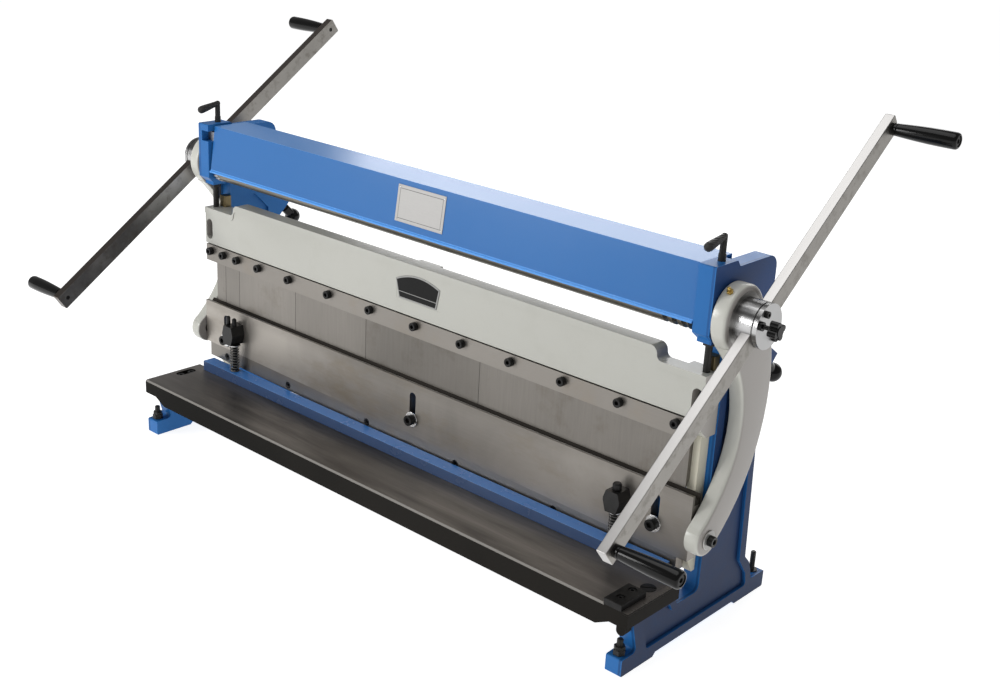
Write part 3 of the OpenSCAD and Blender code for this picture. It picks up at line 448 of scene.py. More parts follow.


# edge holds the two colours of painted light on the narrow edges
def bar_steel(name="drawn_bar_steel", edge=((0.40, 0.39, 0.38), (0.55, 0.54, 0.53)), low=None):
    """Flat drawn bar: painted light on its narrow edges, painted shade on its broad faces with marks, and a lower
    half of its own tone.
    """
    f = Finish(name, edge[1], metallic=1.0, roughness=0.3)
    smear = f.noise(14, 5, 0.62)
    spot = f.noise(55, 5, 0.7)
    line = f.noise(60, 4, 0.7, (1, 0.12, 0.12))
    # painted shade on the broad faces, painted light on the narrow edges
    broad = abs(f.facing(0)).smooth(0.7, 0.95)
    face = f.mix(smear, (0.22, 0.21, 0.195), (0.36, 0.345, 0.32))
    side = f.mix(0.6 * smear + 0.4 * line, *edge)
    if low:
        under, near = 1.0 - f.axis(2).smooth(0.445, 0.475), f.axis(2).smooth(0.36, 0.455)
        dark = f.mix((near * 0.8 + 0.6 * (smear - 0.4)).clamp(), f.mix(smear, *low), (0.62, 0.61, 0.60))
        face = f.mix(under, face, dark)
        side = f.mix(under * 0.85, side, (0.10, 0.085, 0.075))
    face = f.mix((spot - 0.5).clamp() * 2.5, face, (0.09, 0.075, 0.06))
    return f.done(f.mix(broad, side, face), 0.27 + 0.12 * broad + 0.12 * smear, 0.5 * spot + 0.5 * line, 0.1, 0.0003)


def black_oxide():
    rgb, roughness = colours().black, 0.36
    f = Finish("black_oxide_steel", rgb, roughness=roughness, specular=0.22)
    worn = f.noise(60, 4, 0.65)
    return f.done(f.mix((worn - 0.45).clamp() * 1.4, rgb, (0.035, 0.033, 0.031)), roughness + 0.2 * (worn - 0.4),
                  f.noise(420, 3), 0.15, 0.0003)


def cast_black():
    """Painted cast bracket on a bright washer."""
    f = Finish("black_cast_bracket", colours().black, roughness=0.34, specular=0.34)
    lump = f.noise(60, 4, 0.65)
    black = f.mix((lump - 0.45).clamp() * 1.2, colours().black, (0.03, 0.029, 0.028))
    right = f.axis(0).smooth(-0.001, 0.001)
    washer = 1.0 - (f.axis(2) + 0.003 * right).smooth(0.1647, 0.1649)
    f.set("Metallic", washer)
    return f.done(f.mix(washer, black, (0.62, 0.62, 0.62)), 0.32 + 0.2 * (lump - 0.4),
                  lump + 0.5 * f.noise(300, 2), 0.2, 0.0004)


def pin_steel():
    """Black pin screw with a bright washer behind its head."""
    f = Finish("pin_and_washer_steel", colours().black, roughness=0.33, specular=0.3)
    x = abs(f.axis(0))
    washer = x.smooth(0.5533, 0.5535) * (1.0 - x.smooth(0.55535, 0.55545))
    worn = f.mix((f.noise(70, 4, 0.65) - 0.45).clamp() * 1.4, colours().black, (0.035, 0.033, 0.031))
    f.set("Base Color", f.mix(washer, worn, (0.70, 0.69, 0.67)))
    f.set("Metallic", washer)
    f.set("Roughness", 0.28 + 0.12 * f.noise(90, 3))
    return f.material


def two_tone(name, metallic, roughness, specular, grain, low, high, wear=None, relief=None):
    """Wavers between two colours. Grain is a noise, wear adds a least roughness and a noise's share of it, and
    relief is a noise with its strength and depth."""
    f = Finish(name, high, metallic, roughness, specular)
    f.set("Base Color", f.mix(f.noise(*grain), low, high))
    if wear:
        f.set("Roughness", wear[0] + wear[1] * f.noise(*wear[2]))
    if relief:
        f.bump(f.noise(*relief[0]), *relief[1:])
    return f.material


def brass():
    rgb = colours().brass
    return two_tone("brass", 1.0, 0.28, 0.5, (150, 4), tint(rgb, 0.7), tint(rgb, 1.15), (0.22, 0.16, (220, 3)))


def plate_metal():
    """Bare satin plate with a thin engraved border."""
    f = Finish("satin_plate", (0.38, 0.37, 0.36), metallic=0.4, roughness=0.5)
    grain = f.noise(120, 3, 0.7, (1, 1, 12))
    across = abs(f.axis(0) - PLATE_X * MM) - 0.0447
    along = abs(f.axis(2) - PLATE_Z * MM) - 0.0224
    edge = f.node("ShaderNodeMath", {"operation": "MAXIMUM"}, across, along)
    line = (1.0 - abs(edge) / 0.0006).clamp()
    bare = f.mix(grain, (0.34, 0.335, 0.325), (0.43, 0.42, 0.41))
    return f.done(f.mix(line * 1.4, bare, (0.07, 0.07, 0.07)), 0.45 + 0.14 * grain, 1.0 - line, 0.4, 0.0002)


def threaded():
    """Black screw with its thread as fine ridges along Z."""
    f = Finish("black_threaded_steel", colours().black, roughness=0.38, specular=0.25)
    ridge = (f.axis(2) * (2 * math.pi / 0.0015)).wave()
    f.set("Base Color", f.mix(0.5 + 0.5 * ridge, colours().black, (0.045, 0.043, 0.04)))
    f.bump(ridge, 0.6, 0.0004)
    return f.material


ROLL_RINGS = (50, 3, 0.7, (8, 1, 1))
# the plainer finishes: metallic, roughness, specular, grain, two colours, wear and relief
TWO_TONE = {
    "coil": ("worn_spring_wire", 0.7, 0.3, 0.5, (180, 4, 0.6), (0.05, 0.048, 0.045), (0.22, 0.215, 0.21),
             (0.24, 0.14, (90, 3))),
    "die": ("oiled_die_steel", 0.5, 0.45, 0.3, (30, 5, 0.6, (0.2, 1, 1)), (0.007, 0.006, 0.005),
            (0.035, 0.028, 0.02), None, ((200, 3, 0.6, (0.1, 1, 1)), 0.15, 0.0003)),
    "roll": ("oiled_roll_steel", 0.9, 0.3, 0.5, (7, 4, 0.6), (0.13, 0.115, 0.085), (0.24, 0.225, 0.19),
             (0.22, 0.2, ROLL_RINGS), (ROLL_RINGS, 0.1, 0.0003)),
    "gloss": ("gloss_black_plastic", 0.0, 0.12, 0.22, (30, 4, 0.6), (0.003, 0.003, 0.003), (0.003, 0.003, 0.003),
              (0.09, 0.08, (30, 4, 0.6)), ((90, 2), 0.05, 0.0004)),
    "bronze": ("oiled_bronze", 1.0, 0.35, 0.5, (120, 4), (0.28, 0.16, 0.06), (0.44, 0.29, 0.13)),
    "rim": ("satin_badge_rim", 0.9, 0.3, 0.5, (260, 3), (0.22, 0.22, 0.215), (0.34, 0.34, 0.33)),
    "field": ("black_badge_field", 0.0, 0.34, 0.14, (200, 4), (0.002, 0.002, 0.002), (0.006, 0.006, 0.006)),
    "tan": ("oiled_brass_block", 0.7, 0.45, 0.5, (90, 4, 0.6), (0.11, 0.085, 0.04), (0.22, 0.17, 0.085)),
}
FINISHES = {
    "blue_cast": lambda: enamel("blue_cast_enamel", colours().blue, 0.6, 0.3, colours().painted_shade_navy),
    "cream": lambda: enamel("cream_strip_enamel", tint(colours().cream, 1.25), 0.2, 0.4),
    "clamp_steel": lambda: ground_steel("ground_clamp_steel", 0.80, 0.5),
    "blade_steel": lambda: ground_steel("ground_blade_steel", 0.72, 0.9, 0.32),
    "gear": lambda: bright_steel("machined_gear_steel", 0.38, 0.5),
    "bar_left": lambda: bar_steel("drawn_bar_steel_left", ((0.06, 0.045, 0.04), (0.16, 0.14, 0.125)),
                                  ((0.09, 0.09, 0.095), (0.19, 0.185, 0.18))),
    "blue_sheet": blue_sheet, "blue_bar": blue_bar, "pale_cast": pale_cast, "ram_steel": ram_steel,
    "finger_steel": finger_steel, "table": table_steel, "bright": bright_steel, "bar": bar_steel,
    "threaded": threaded, "black": black_oxide, "hub": hub_steel, "pin": pin_steel, "cast_black": cast_black,
    "brass": brass, "plate": plate_metal,
    **{key: functools.partial(two_tone, *row) for key, row in TWO_TONE.items()},
}


# ---- mesh helpers

def body_of(node):
    return NODES[node]["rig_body"]


def linked(name, data):
    obj = bpy.data.objects.new(name, data)
    bpy.context.scene.collection.objects.link(obj)
    return obj


def shown(mesh, name, look, body, *nodes):
    """Links a finished mesh as a piece that rides on a body and stands for CAD nodes."""
    obj = linked(name, mesh)
    if look:
        mesh.materials.clear()
        mesh.materials.append(finish(look))
    if nodes:
        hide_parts(*nodes)
    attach(obj, body)
    return obj


def stand_in(mesh, node, look=None):
    """Shows a mesh in place of one CAD node, on that node's body."""
    return shown(mesh, node + "_dressed", look, body_of(node), node)


def settle(obj, kind=None, **settings):
    """Applies an object's modifiers, after adding one of a kind with its settings, and gives the plain mesh."""
    if kind:
        modifier = obj.modifiers.new(kind, kind)
        for key, value in settings.items():
            setattr(modifier, key, value)
    bpy.context.view_layer.update()
    graph = bpy.context.evaluated_depsgraph_get()
    mesh = bpy.data.meshes.new_from_object(obj.evaluated_get(graph))
    obj.modifiers.clear()
    obj.data = mesh
    return mesh


def rounded_edges(mesh, width, segments=2, angle=32):
    """Bevels a mesh's sharp edges and gives flat faces flat shading."""
    obj = linked("edging", mesh)
    for p in mesh.polygons:
        p.use_smooth = True
    edged = settle(obj, "BEVEL", width=width, segments=segments, limit_method="ANGLE",
                   angle_limit=math.radians(angle), use_clamp_overlap=True, miter_outer="MITER_ARC")
    bm = bmesh.new()
    bm.from_mesh(edged)
    bmesh.ops.recalc_face_normals(bm, faces=bm.faces)
    bm.to_mesh(edged)
    bm.free()
    out = settle(obj, "WEIGHTED_NORMAL", keep_sharp=True)
    bpy.data.objects.remove(obj)
    return out


def merged(node):
    """A node's mesh with its loose triangles joined, open to edits."""
    bm = bmesh.new()
    bm.from_mesh(NODES[node].data)
    bmesh.ops.remove_doubles(bm, verts=bm.verts, dist=2e-6)
    return bm


def freed(bm, name):
    """A new mesh from a bmesh, which ends there."""
    mesh = bpy.data.meshes.new(name)
    bm.to_mesh(mesh)
    bm.free()
    return mesh


def soften(node, look, width, segments=2, angle=32, corners=10000):
    """Stands a bevelled copy in for a CAD node. Flat faces are merged, those with more corners are left cut."""
    bm = merged(node)
    bmesh.ops.dissolve_limit(bm, angle_limit=math.radians(0.5), verts=bm.verts, edges=bm.edges)
    bmesh.ops.triangulate(bm, faces=[f for f in bm.faces if len(f.verts) > corners])
    return stand_in(rounded_edges(freed(bm, node), width, segments, angle), node, look)


def walk(loop):
    """Each corner of a closed loop with the next."""
    return zip(loop, loop[1:] + loop[:1])


def rims(node, x):
    """The closed outlines, as (y, z) points, of a node's flat side at x: the longest first, each anticlockwise."""
    bm = merged(node)
    near = {}
    for e in bm.edges:
        if len(e.link_faces) == 2 and e.calc_face_angle(0) > 0.5 and all(abs(v.co.x - x) < 1e-5 for v in e.verts):
            a, b = e.verts
            near.setdefault(a, []).append(b)
            near.setdefault(b, []).append(a)
    loops, seen = [], set()
    for start in sorted(near, key=lambda v: v.index):
        if start in seen:
            continue
        loop, at = [], start
        while at is not None:
            seen.add(at)
            loop.append((at.co.y, at.co.z))
            at = next((v for v in near[at] if v not in seen), None)
        area = sum(p[0] * q[1] - q[0] * p[1] for p, q in walk(loop))
        loops.append(loop if area > 0 else loop[::-1])
    bm.free()
    if not loops:
        raise RuntimeError(f"{node} has no flat side at {x}")
    return sorted(loops, key=lambda p: -sum(math.dist(a, b) for a, b in walk(p)))


def skin(bm, rings):
    """Faces between rings that have the same number of corners. A ring may be one corner many times over."""
    for a, b in zip(rings, rings[1:]):
        for (p, q), (r, s) in zip(walk(a), walk(b)):
            bm.faces.new(tuple(dict.fromkeys((p, q, s, r))))


def cap(bm, loops):
    """Triangles inside the first loop and outside the others, all across X."""
    corners = [(v, number) for number, loop in enumerate(loops) for v in loop]
    edges, first = [], 0
    for loop in loops:
        edges += walk(list(range(first, first + len(loop))))
        first += len(loop)
    flat = [Vector((v.co.y, v.co.z)) for v, _ in corners]
    faces, origin = delaunay_2d_cdt(flat, edges, [], 1, 1e-7)[2:4]
    for face in faces:
        face = [corners[origin[i][0]] for i in face]
        if len({number for _, number in face}) > 1 or face[0][1] == 0:
            bm.faces.new([v for v, _ in face])


def rounded_plate(node, outer_edge, inner_edge, bore_edge=0.6 * MM, steps=6):
    """A plate across X with the node's outline and bores: a large rounding on its outer side, a smaller inside."""
    low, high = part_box(node)
    sign = 1 if high.x > 0 else -1
    inside, outside = (low.x, high.x) if sign > 0 else (high.x, low.x)
    outline, *bores = rims(node, outside)
    bm = bmesh.new()
    turn = [math.pi / 2 * k / steps for k in range(steps + 1)]

    def ring(points, edge, t, side, way):
        x = side + way * edge * (1 - math.cos(t))
        return [bm.verts.new((x, *p)) for p in inset(points, edge * (1 - math.sin(t)))]

    walls = []
    for points, small, large in [(outline, inner_edge, outer_edge)] + [(b, -bore_edge, -bore_edge) for b in bores]:
        way = math.copysign(sign, sign * small)
        rings = [ring(points, small, t, inside, way) for t in turn]
        rings += [ring(points, large, t, outside, -way) for t in reversed(turn)]
        skin(bm, rings)
        walls.append(rings)
    for end in (0, -1):
        cap(bm, [rings[end] for rings in walls])
    bmesh.ops.remove_doubles(bm, verts=bm.verts, dist=1e-6)
    return as_mesh(bm, node, 20)


def slab(outline, start, end, axis, name):
    """A closed outline drawn out along an axis: 1 takes (x, z), 2 takes (x, y)."""
    bm = bmesh.new()
    low, high = ([bm.verts.new((p[0], s, p[1]) if axis == 1 else (*p, s)) for p in outline] for s in (start, end))
    bm.faces.new(low)
    bm.faces.new(high)
    skin(bm, (low, high))
    return as_mesh(bm, name)


def as_mesh(bm, name, smooth=30):
    bmesh.ops.recalc_face_normals(bm, faces=bm.faces)
    mesh = freed(bm, name)
    mesh.set_sharp_from_angle(angle=math.radians(smooth))
    for p in mesh.polygons:
        p.use_smooth = True
    return mesh


def joined(meshes, name):
    """Several meshes as one."""
    bm = bmesh.new()
    for m in meshes:
        bm.from_mesh(m)
    return freed(bm, name)


def turned(profile, sides=48, axis=0, centre=(0, 0, 0), smooth=40):
    """A closed solid of revolution from (along, radius) pairs in millimetres, its ends on the axis. A profile whose
    last pair is its first makes a ring."""
    loop = profile[0] == profile[-1]
    profile = profile[:-1] if loop else profile
    bm = bmesh.new()
    rings = []
    for along, r in profile:
        turns = [2 * math.pi * k / sides for k in range(sides if r else 1)]
        ring = [bm.verts.new((along * MM, r * MM * math.cos(a), r * MM * math.sin(a))) for a in turns]
        rings.append(ring if r else ring * sides)
    skin(bm, rings + rings[:loop])
    turn = {0: Matrix.Identity(4), 1: Matrix.Rotation(math.pi / 2, 4, "Z"), 2: Matrix.Rotation(-math.pi / 2, 4, "Y")}
    bm.transform(Matrix.Translation(centre) @ turn[axis])
    return as_mesh(bm, "turned", smooth)


def screw(head, height, shank, reach, socket, depth, knurl=0.0, sides=60):
    """A hex socket cap screw that stands on Z = 0, its shank below. Radii and lengths in millimetres."""
    bm = bmesh.new()

    def ring(r, z, form=""):
        out = []
        for k in range(sides):
            a = 2 * math.pi * k / sides
            q = r
            if form == "hex":
                q = r * math.cos(math.pi / 6) / math.cos(a % (math.pi / 3) - math.pi / 6)
            elif form == "knurl" and k % 2:
                q = r - knurl * MM
            out.append(bm.verts.new((q * math.cos(a), q * math.sin(a), z)))
        return out
    rings = [ring(r * MM, z * MM, *form) for r, z, *form in (
        (shank - 0.4, -reach), (shank, 0.4 - reach), (shank, 0), (head - 0.3, 0), (head, 0.3, "knurl"),
        (head, height - 0.8, "knurl"), (head - 0.25, height - 0.3), (head - 0.8, height), (socket + 0.4, height),
        (socket, height - 0.3, "hex"), (socket, height - depth, "hex"))]
    bm.faces.new(rings[0])
    bm.faces.new(rings[-1])
    skin(bm, rings)
    return as_mesh(bm, "cap_screw", 24)


def inset(outline, d, reach=14):
    """An anticlockwise outline moved inwards, or outwards by a negative distance. Where it then crosses itself within
    some corners' reach, that loop is drawn together."""
    out = []
    n = len(outline)
    for i in range(n):
        a, b, c = (Vector(outline[k % n]) for k in (i - 1, i, i + 1))
        u, v = (b - a).normalized(), (c - b).normalized()
        inward = (Vector((-u.y, u.x)) + Vector((-v.y, v.x))).normalized()
        out.append(b + inward * d / max(0.3, inward.dot(Vector((-u.y, u.x)))))
    for i in range(n):
        for j in range(i + 2, i + reach):
            hit = intersect_line_line_2d(out[i], out[(i + 1) % n], out[j % n], out[(j + 1) % n])
            if hit:
                for k in range(i + 1, j + 1):
                    out[k % n] = hit
                break
    return [tuple(p) for p in out]


# ---- geometry nodes

class Tree(Nodes):
    """A geometry node tree whose named inputs are set before it is first evaluated."""

    def __init__(self, name, **inputs):
        super().__init__(bpy.data.node_groups.new(name, "GeometryNodeTree"))
        self.ids = {}
        for key, kind in (("Geometry", "Geometry"), *inputs.items(), ("Finish", "Material")):
            socket = self.tree.interface.new_socket(key, in_out="INPUT", socket_type="NodeSocket" + kind)
            self.ids[key] = socket.identifier
        self.tree.interface.new_socket("Geometry", in_out="OUTPUT", socket_type="NodeSocketGeometry")
        self.input = self.tree.nodes.new("NodeGroupInput")

    def given(self, key):
        return Value(self, self.input.outputs[key])

    def end(self, geometry):
        real = self.node("GeometryNodeRealizeInstances", {}, geometry)
        done = self.node("GeometryNodeSetMaterial", {}, Geometry=real, Material=self.given("Finish"))
        self.tree.links.new(done.socket, self.tree.nodes.new("NodeGroupOutput").inputs[0])
        return self

    def mesh(self, points, name, look, **values):
        """Runs the tree on loose points and gives a plain mesh."""
        base = bpy.data.meshes.new(name)
        base.from_pydata(points, [], [])
        obj = linked(name, base)
        run = obj.modifiers.new("repeat", "NODES")
        run.node_group = self.tree
        run[self.ids["Finish"]] = finish(look)
        for key, value in values.items():
            run[self.ids[key.replace("_", " ")]] = value
        out = settle(obj)
        bpy.data.objects.remove(obj)
        if not len(out.polygons):
            raise RuntimeError(f"{name} came out empty")
        return out


@functools.cache
def copies_tree():
    """Sets one piece on every point, tilted, and turned by a seeded amount about its own Z axis."""
    t = Tree("copies_on_points", Piece="Object", Tilt="Vector", Spin="Float", Seed="Int")
    piece = t.node("GeometryNodeObjectInfo", {"transform_space": "ORIGINAL"}, Object=t.given("Piece"), out="Geometry")
    spin = t.node("FunctionNodeRandomValue", {"data_type": "FLOAT"}, Min=0.0, Max=t.given("Spin"),
                  Seed=t.given("Seed"), out=1)
    placed = t.node("GeometryNodeInstanceOnPoints", {}, Points=t.given("Geometry"), Instance=piece,
                    Rotation=t.given("Tilt"))
    return t.end(t.node("GeometryNodeRotateInstances", {}, Instances=placed,
                        Rotation=t.node("ShaderNodeCombineXYZ", {}, Z=spin)))


def copies(mesh, points, name, look, tilt=(0, 0, 0), spin=0.0):
    """One piece on many points, as a plain mesh."""
    piece = linked(name + "_piece", mesh)
    out = copies_tree().mesh(points, name, look, Piece=piece, Tilt=tilt, Spin=spin, Seed=sizes().screw_seed)
    bpy.data.objects.remove(piece)
    return out


@functools.cache
def spring_tree():
    """A coil with a closed turn at each end, standing on each point."""
    t = Tree("standing_coil", Radius="Float", Wire="Float", Height="Float", Turns="Float")
    radius, wire, height = t.given("Radius"), t.given("Wire"), t.given("Height")
    half, rise = wire * 0.5, height - wire

    def raised(geometry, z):
        return t.node("GeometryNodeTransform", {}, Geometry=geometry,
                      Translation=t.node("ShaderNodeCombineXYZ", {}, Z=z))
    coil = t.node("GeometryNodeCurveSpiral", {}, Resolution=40, Rotations=t.given("Turns"), Start_Radius=radius,
                  End_Radius=radius, Height=rise)
    ring = t.node("GeometryNodeCurvePrimitiveCircle", {}, Resolution=48, Radius=radius)
    both = t.node("GeometryNodeJoinGeometry", {})
    for part in (coil, ring, raised(ring, rise)):
        t.tree.links.new(part.socket, both.socket.node.inputs[0])
    section = t.node("GeometryNodeCurvePrimitiveCircle", {}, Resolution=12, Radius=half)
    tube = t.node("GeometryNodeCurveToMesh", {}, Curve=both, Profile_Curve=section, Fill_Caps=True)
    smooth = t.node("GeometryNodeSetShadeSmooth", {}, raised(tube, half))
    return t.end(t.node("GeometryNodeInstanceOnPoints", {}, Points=t.given("Geometry"), Instance=smooth))


# ---- operators

class MachineOperator:
    bl_options = {"REGISTER", "UNDO"}


class MACHINE_OT_camera(MachineOperator, bpy.types.Operator):
    """Places the camera at the photographed view"""
    bl_idname = "machine.camera"
    bl_label = "Camera"

    def execute(self, context):
        view = Matrix.Translation(CAMERA_PLACE)
        for angle, axis in ((CAMERA_AZIMUTH, "Z"), (90 - CAMERA_ELEVATION, "X"), (CAMERA_ROLL, "Z")):
            view = view @ Matrix.Rotation(math.radians(angle), 4, axis)
        data = bpy.data.cameras.new("photo_view")
        data.lens = CAMERA_LENS
        data.sensor_width = CAMERA_SENSOR
        data.clip_start = 0.05
        data.clip_end = 50
        cam = linked("photo_view", data)
        cam.matrix_world = view
        bpy.context.scene.camera = cam
        return {"FINISHED"}


class MACHINE_OT_stage(MachineOperator, bpy.types.Operator):
    """Lays the pale floor and sets the soft studio lights"""
    bl_idname = "machine.stage"
    bl_label = "Stage"

    def execute(self, context):
        mesh = bpy.data.meshes.new("floor")
        s = FLOOR_REACH
        mesh.from_pydata([(-s, -s, 0), (s, -s, 0), (s, s, 0), (-s, s, 0)], [], [(0, 1, 2, 3)])
        floor = linked("floor", mesh)
        f = Finish("pale_floor", (0.5, 0.5, 0.5), roughness=0.9, specular=0.1)
        f.set("Base Color", f.mix(f.noise(1.5, 2), (0.49, 0.49, 0.49), (0.51, 0.51, 0.51)))
        f.shader.inputs["Emission Color"].default_value = (1, 1, 1, 1)
        f.shader.inputs["Emission Strength"].default_value = FLOOR_GLOW
        mesh.materials.append(f.material)
        world = bpy.data.worlds.new("studio")
        world.use_nodes = True
        sky = world.node_tree.nodes["Background"]
        sky.inputs["Color"].default_value = (1.0, 1.0, 1.0, 1)
        sky.inputs["Strength"].default_value = SKY_STRENGTH
        bpy.context.scene.world = world
        # low key from the front left, a broad soft box overhead and a lit screen behind
        for name, place, target, size, watts in LIGHTS:
            data = bpy.data.lights.new(name, "AREA")
            data.shape = "RECTANGLE"
            data.size, data.size_y = size
            data.energy = watts
            light = linked(name, data)
            light.location = place
            light.rotation_euler = (Vector(target) - Vector(place)).to_track_quat("-Z", "Y").to_euler()
        bpy.context.scene.view_settings.view_transform = "Standard"
        return {"FINISHED"}


class MACHINE_OT_frames(MachineOperator, bpy.types.Operator):
    """Dresses the two cast side frames and the bed beam between them"""
    bl_idname = "machine.frames"
    bl_label = "Side frames"

    def execute(self, context):
        for side in ("left", "right"):
            soften(side + "_side_frame", "blue_cast", sizes().cast_edge, 3, corners=48)
        soften("rear_bed_beam", "blue_cast", sizes().cast_edge)
        return {"FINISHED"}


class MACHINE_OT_table(MachineOperator, bpy.types.Operator):
    """Dresses the shear table, its lower blade, edge strip and fence"""
    bl_idname = "machine.table"
    bl_label = "Shear table"

    def execute(self, context):
        edge = sizes().plate_edge
        soften("shear_table", "table", edge * 1.6)
        soften("lower_shear_blade", "blade_steel", edge * 0.5, 1)
        soften("edge_scale", "table", 0.15 * MM, 1)
        soften("squaring_fence", "black", edge)
        soften("table_screws", "black", 0.5 * MM)
        return {"FINISHED"}


class MACHINE_OT_beam(MachineOperator, bpy.types.Operator):
    """Dresses the top beam, with its bare plate and the plate's rivets"""
    bl_idname = "machine.beam"
    bl_label = "Top beam"

    def execute(self, context):
        soften("top_beam", "blue_sheet", 1.4 * MM, 3, 12)
        soften("rating_plate", "plate", 0.2 * MM, 1)
        dome = turned(((0, 0), (0, 1.2), (0.35, 1.05), (0.6, 0.6), (0.68, 0)), 24, 2, smooth=80)
        lean = math.radians(BEAM_LEAN)
        # the beam's front passes Y = 3.8 at Z = 537.5 and leans back below it; a rivet's foot sinks into it
        front = 3.8 - 9 * (537.5 - PLATE_Z) / 67 - 0.9 - BACK
        points = [((PLATE_X + x) * MM, (front + z * math.sin(lean)) * MM, (PLATE_Z + z * math.cos(lean)) * MM)
                  for x, z in RIVETS]
        rivets = copies(dome, points, "plate_rivets", "bright", (math.radians(90) - lean, 0, 0))
        shown(rivets, "plate_rivets", None, body_of("rating_plate"))
        return {"FINISHED"}


class MACHINE_OT_die_beam(MachineOperator, bpy.types.Operator):
    """Dresses the pale die beam with its shield shaped plate, guide strips and end blocks"""
    bl_idname = "machine.die_beam"
    bl_label = "Die beam"

    def execute(self, context):
        soften("upper_die_beam", "pale_cast", 0.8 * MM, 3)
        # the shield is flat below and arched above
        arch = [(48.9 - 95.1 * t, 381.2 + 2.6 * (1 - t) + 44 * t * (1 - t)) for t in (k / 14 for k in range(15))]
        shield = [(x * MM, z * MM) for x, z in [(-38.2, 351.3), (41.9, 351.3), *arch]]
        front = (0.6 - BACK) * MM
        rim = rounded_edges(slab(shield, front + 0.2 * MM, front + 1.5 * MM, 1, "rim"), 0.4 * MM)
        shown(rim, "badge_rim", "rim", body_of("badge_plate"), "badge_plate")
        left, right, *crown = inset(shield, 2.4 * MM)

        def beside(corner, next_corner, z):
            """The point at a height on the side that rises from a lower corner."""
            start, rise = Vector(corner), Vector(next_corner) - Vector(corner)
            return tuple(start + rise * ((z - start.y) / rise.y))

        split, gap = 363.0 * MM, 1.1 * MM
        band = [left, right, beside(right, crown[0], split - gap), beside(left, crown[-1], split - gap)]
        upper = [beside(left, crown[-1], split), beside(right, crown[0], split), *crown]
        fields = joined([slab(o, front, front + 0.3 * MM, 1, "field") for o in (band, upper)], "fields")
        shown(fields, "badge_field", "field", body_of("badge_plate"))
        soften("guide_strips", "cream", sizes().plate_edge)
        near, far, blocks = 25 - BACK, 37.9 - BACK, []
        for x0, x1 in ((-515.5, -500.5), (507.5, 521.5)):
            outline = [(x * MM, y * MM) for x, y in ((x0, near), (x1, near), (x1, far), (x0, far))]
            blocks.append(rounded_edges(slab(outline, 391.05 * MM, 411 * MM, 2, "block"), 0.6 * MM, 3))
        stand_in(joined(blocks, "die_end_blocks_dressed"), "die_end_blocks", "tan")
        return {"FINISHED"}


class MACHINE_OT_ram(MachineOperator, bpy.types.Operator):
    """Dresses the ram plate with its vee die and blade"""
    bl_idname = "machine.ram"
    bl_label = "Ram"

    def execute(self, context):
        soften("ram_plate", "ram_steel", 0.8 * MM)
        soften("v_die", "die", 0.3 * MM, 1)
        soften("upper_shear_blade", "blade_steel", 0.7 * MM)
        soften("ram_guide_washers", "bright", 0.4 * MM)
        return {"FINISHED"}


class MACHINE_OT_fingers(MachineOperator, bpy.types.Operator):
    """Dresses the bending fingers and their clamp bar"""
    bl_idname = "machine.fingers"
    bl_label = "Fingers and clamp bar"

    def execute(self, context):
        soften("bending_fingers", "finger_steel", 0.7 * MM)
        soften("finger_clamp_bar", "clamp_steel", sizes().plate_edge)
        return {"FINISHED"}


class MACHINE_OT_arms(MachineOperator, bpy.types.Operator):
    """Dresses the curved arms with their pins and grease nipples"""
    bl_idname = "machine.arms"
    bl_label = "Arms"

    def execute(self, context):
        edge = sizes().arm_edge
        for side in ("left", "right"):
            stand_in(rounded_plate(side + "_arm", edge, 0.5 * edge), side + "_arm", "pale_cast")
            soften(side + "_grease_nipple", "brass", 0.3 * MM)
        # distances from the machine's middle with radii, in millimetres
        shaft = [(513.5, 0), (513.5, 4.6), (513.9, 5), (528.5, 5), (528.5, 8), (553.4, 8), (553.4, 0)]
        washer = [(553.4, 0), (553.4, 13.2), (553.7, 13.5), (555.1, 13.5), (555.4, 13.2), (555.4, 0)]
        y, z = (PIN_AXIS[0] - BACK) * MM, PIN_AXIS[1] * MM
        pins = []
        for s in (-1, 1):
            pins += [turned([(s * x, r) for x, r in profile], 64, 0, (0, y, z)) for profile in (shaft, washer)]
            head = screw(7.6, 8.1, 5, 1.8, 4.2, 5, 0.18)
            outside = Matrix.Translation((s * washer[-1][0] * MM, y, z))
            head.transform(outside @ Matrix.Rotation(s * math.pi / 2, 4, "Y"))
            pins.append(head)
        stand_in(joined(pins, "arm_pins_dressed"), "arm_pins", "pin")
        return {"FINISHED"}


class MACHINE_OT_cranks(MachineOperator, bpy.types.Operator):
    """Dresses the hubs, crank bars, grips and lock knob"""
    bl_idname = "machine.cranks"
    bl_label = "Cranks"

    def execute(self, context):
        soften("eccentric_hubs", "hub", 0.7 * MM)
        soften("hub_screws", "black", 0.4 * MM)
        soften("grip_bolts", "black", 0.5 * MM)
        soften("right_hub_lock", "gloss", 1 * MM, 3)
        # a collar, a neck, a long swell and a hollow end round the bolt's head
        r = sizes().grip_radius / MM
        profile = [(581.9, 5.1), (581.9, 8.3), (582.3, 8.6), (587.6, 8.6), (588.1, 7.8), (589.1, 7.8), (589.7, 8.9),
                   (600, r - 2.0), (615, r - 1.1), (634, r - 0.3), (652, r), (670.6, r), (672.6, r - 0.4),
                   (674, r - 1.4), (674.8, r - 2.8), (674.9, r - 4.1), (670.1, r - 4.1), (670.1, 5.1), (581.9, 5.1)]
        for side, s in (("left", -1), ("right", 1)):
            soften(side + "_crank_bar", "bar_left" if s < 0 else "bar", 1.2 * MM, 3)
            for end in ("upper", "lower"):
                node = f"{side}_{end}_grip"
                low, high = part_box(node)
                middle = (0, (low.y + high.y) / 2, (low.z + high.z) / 2)
                stand_in(turned([(s * x, q) for x, q in profile], 64, 0, middle, 50), node, "gloss")
        return {"FINISHED"}


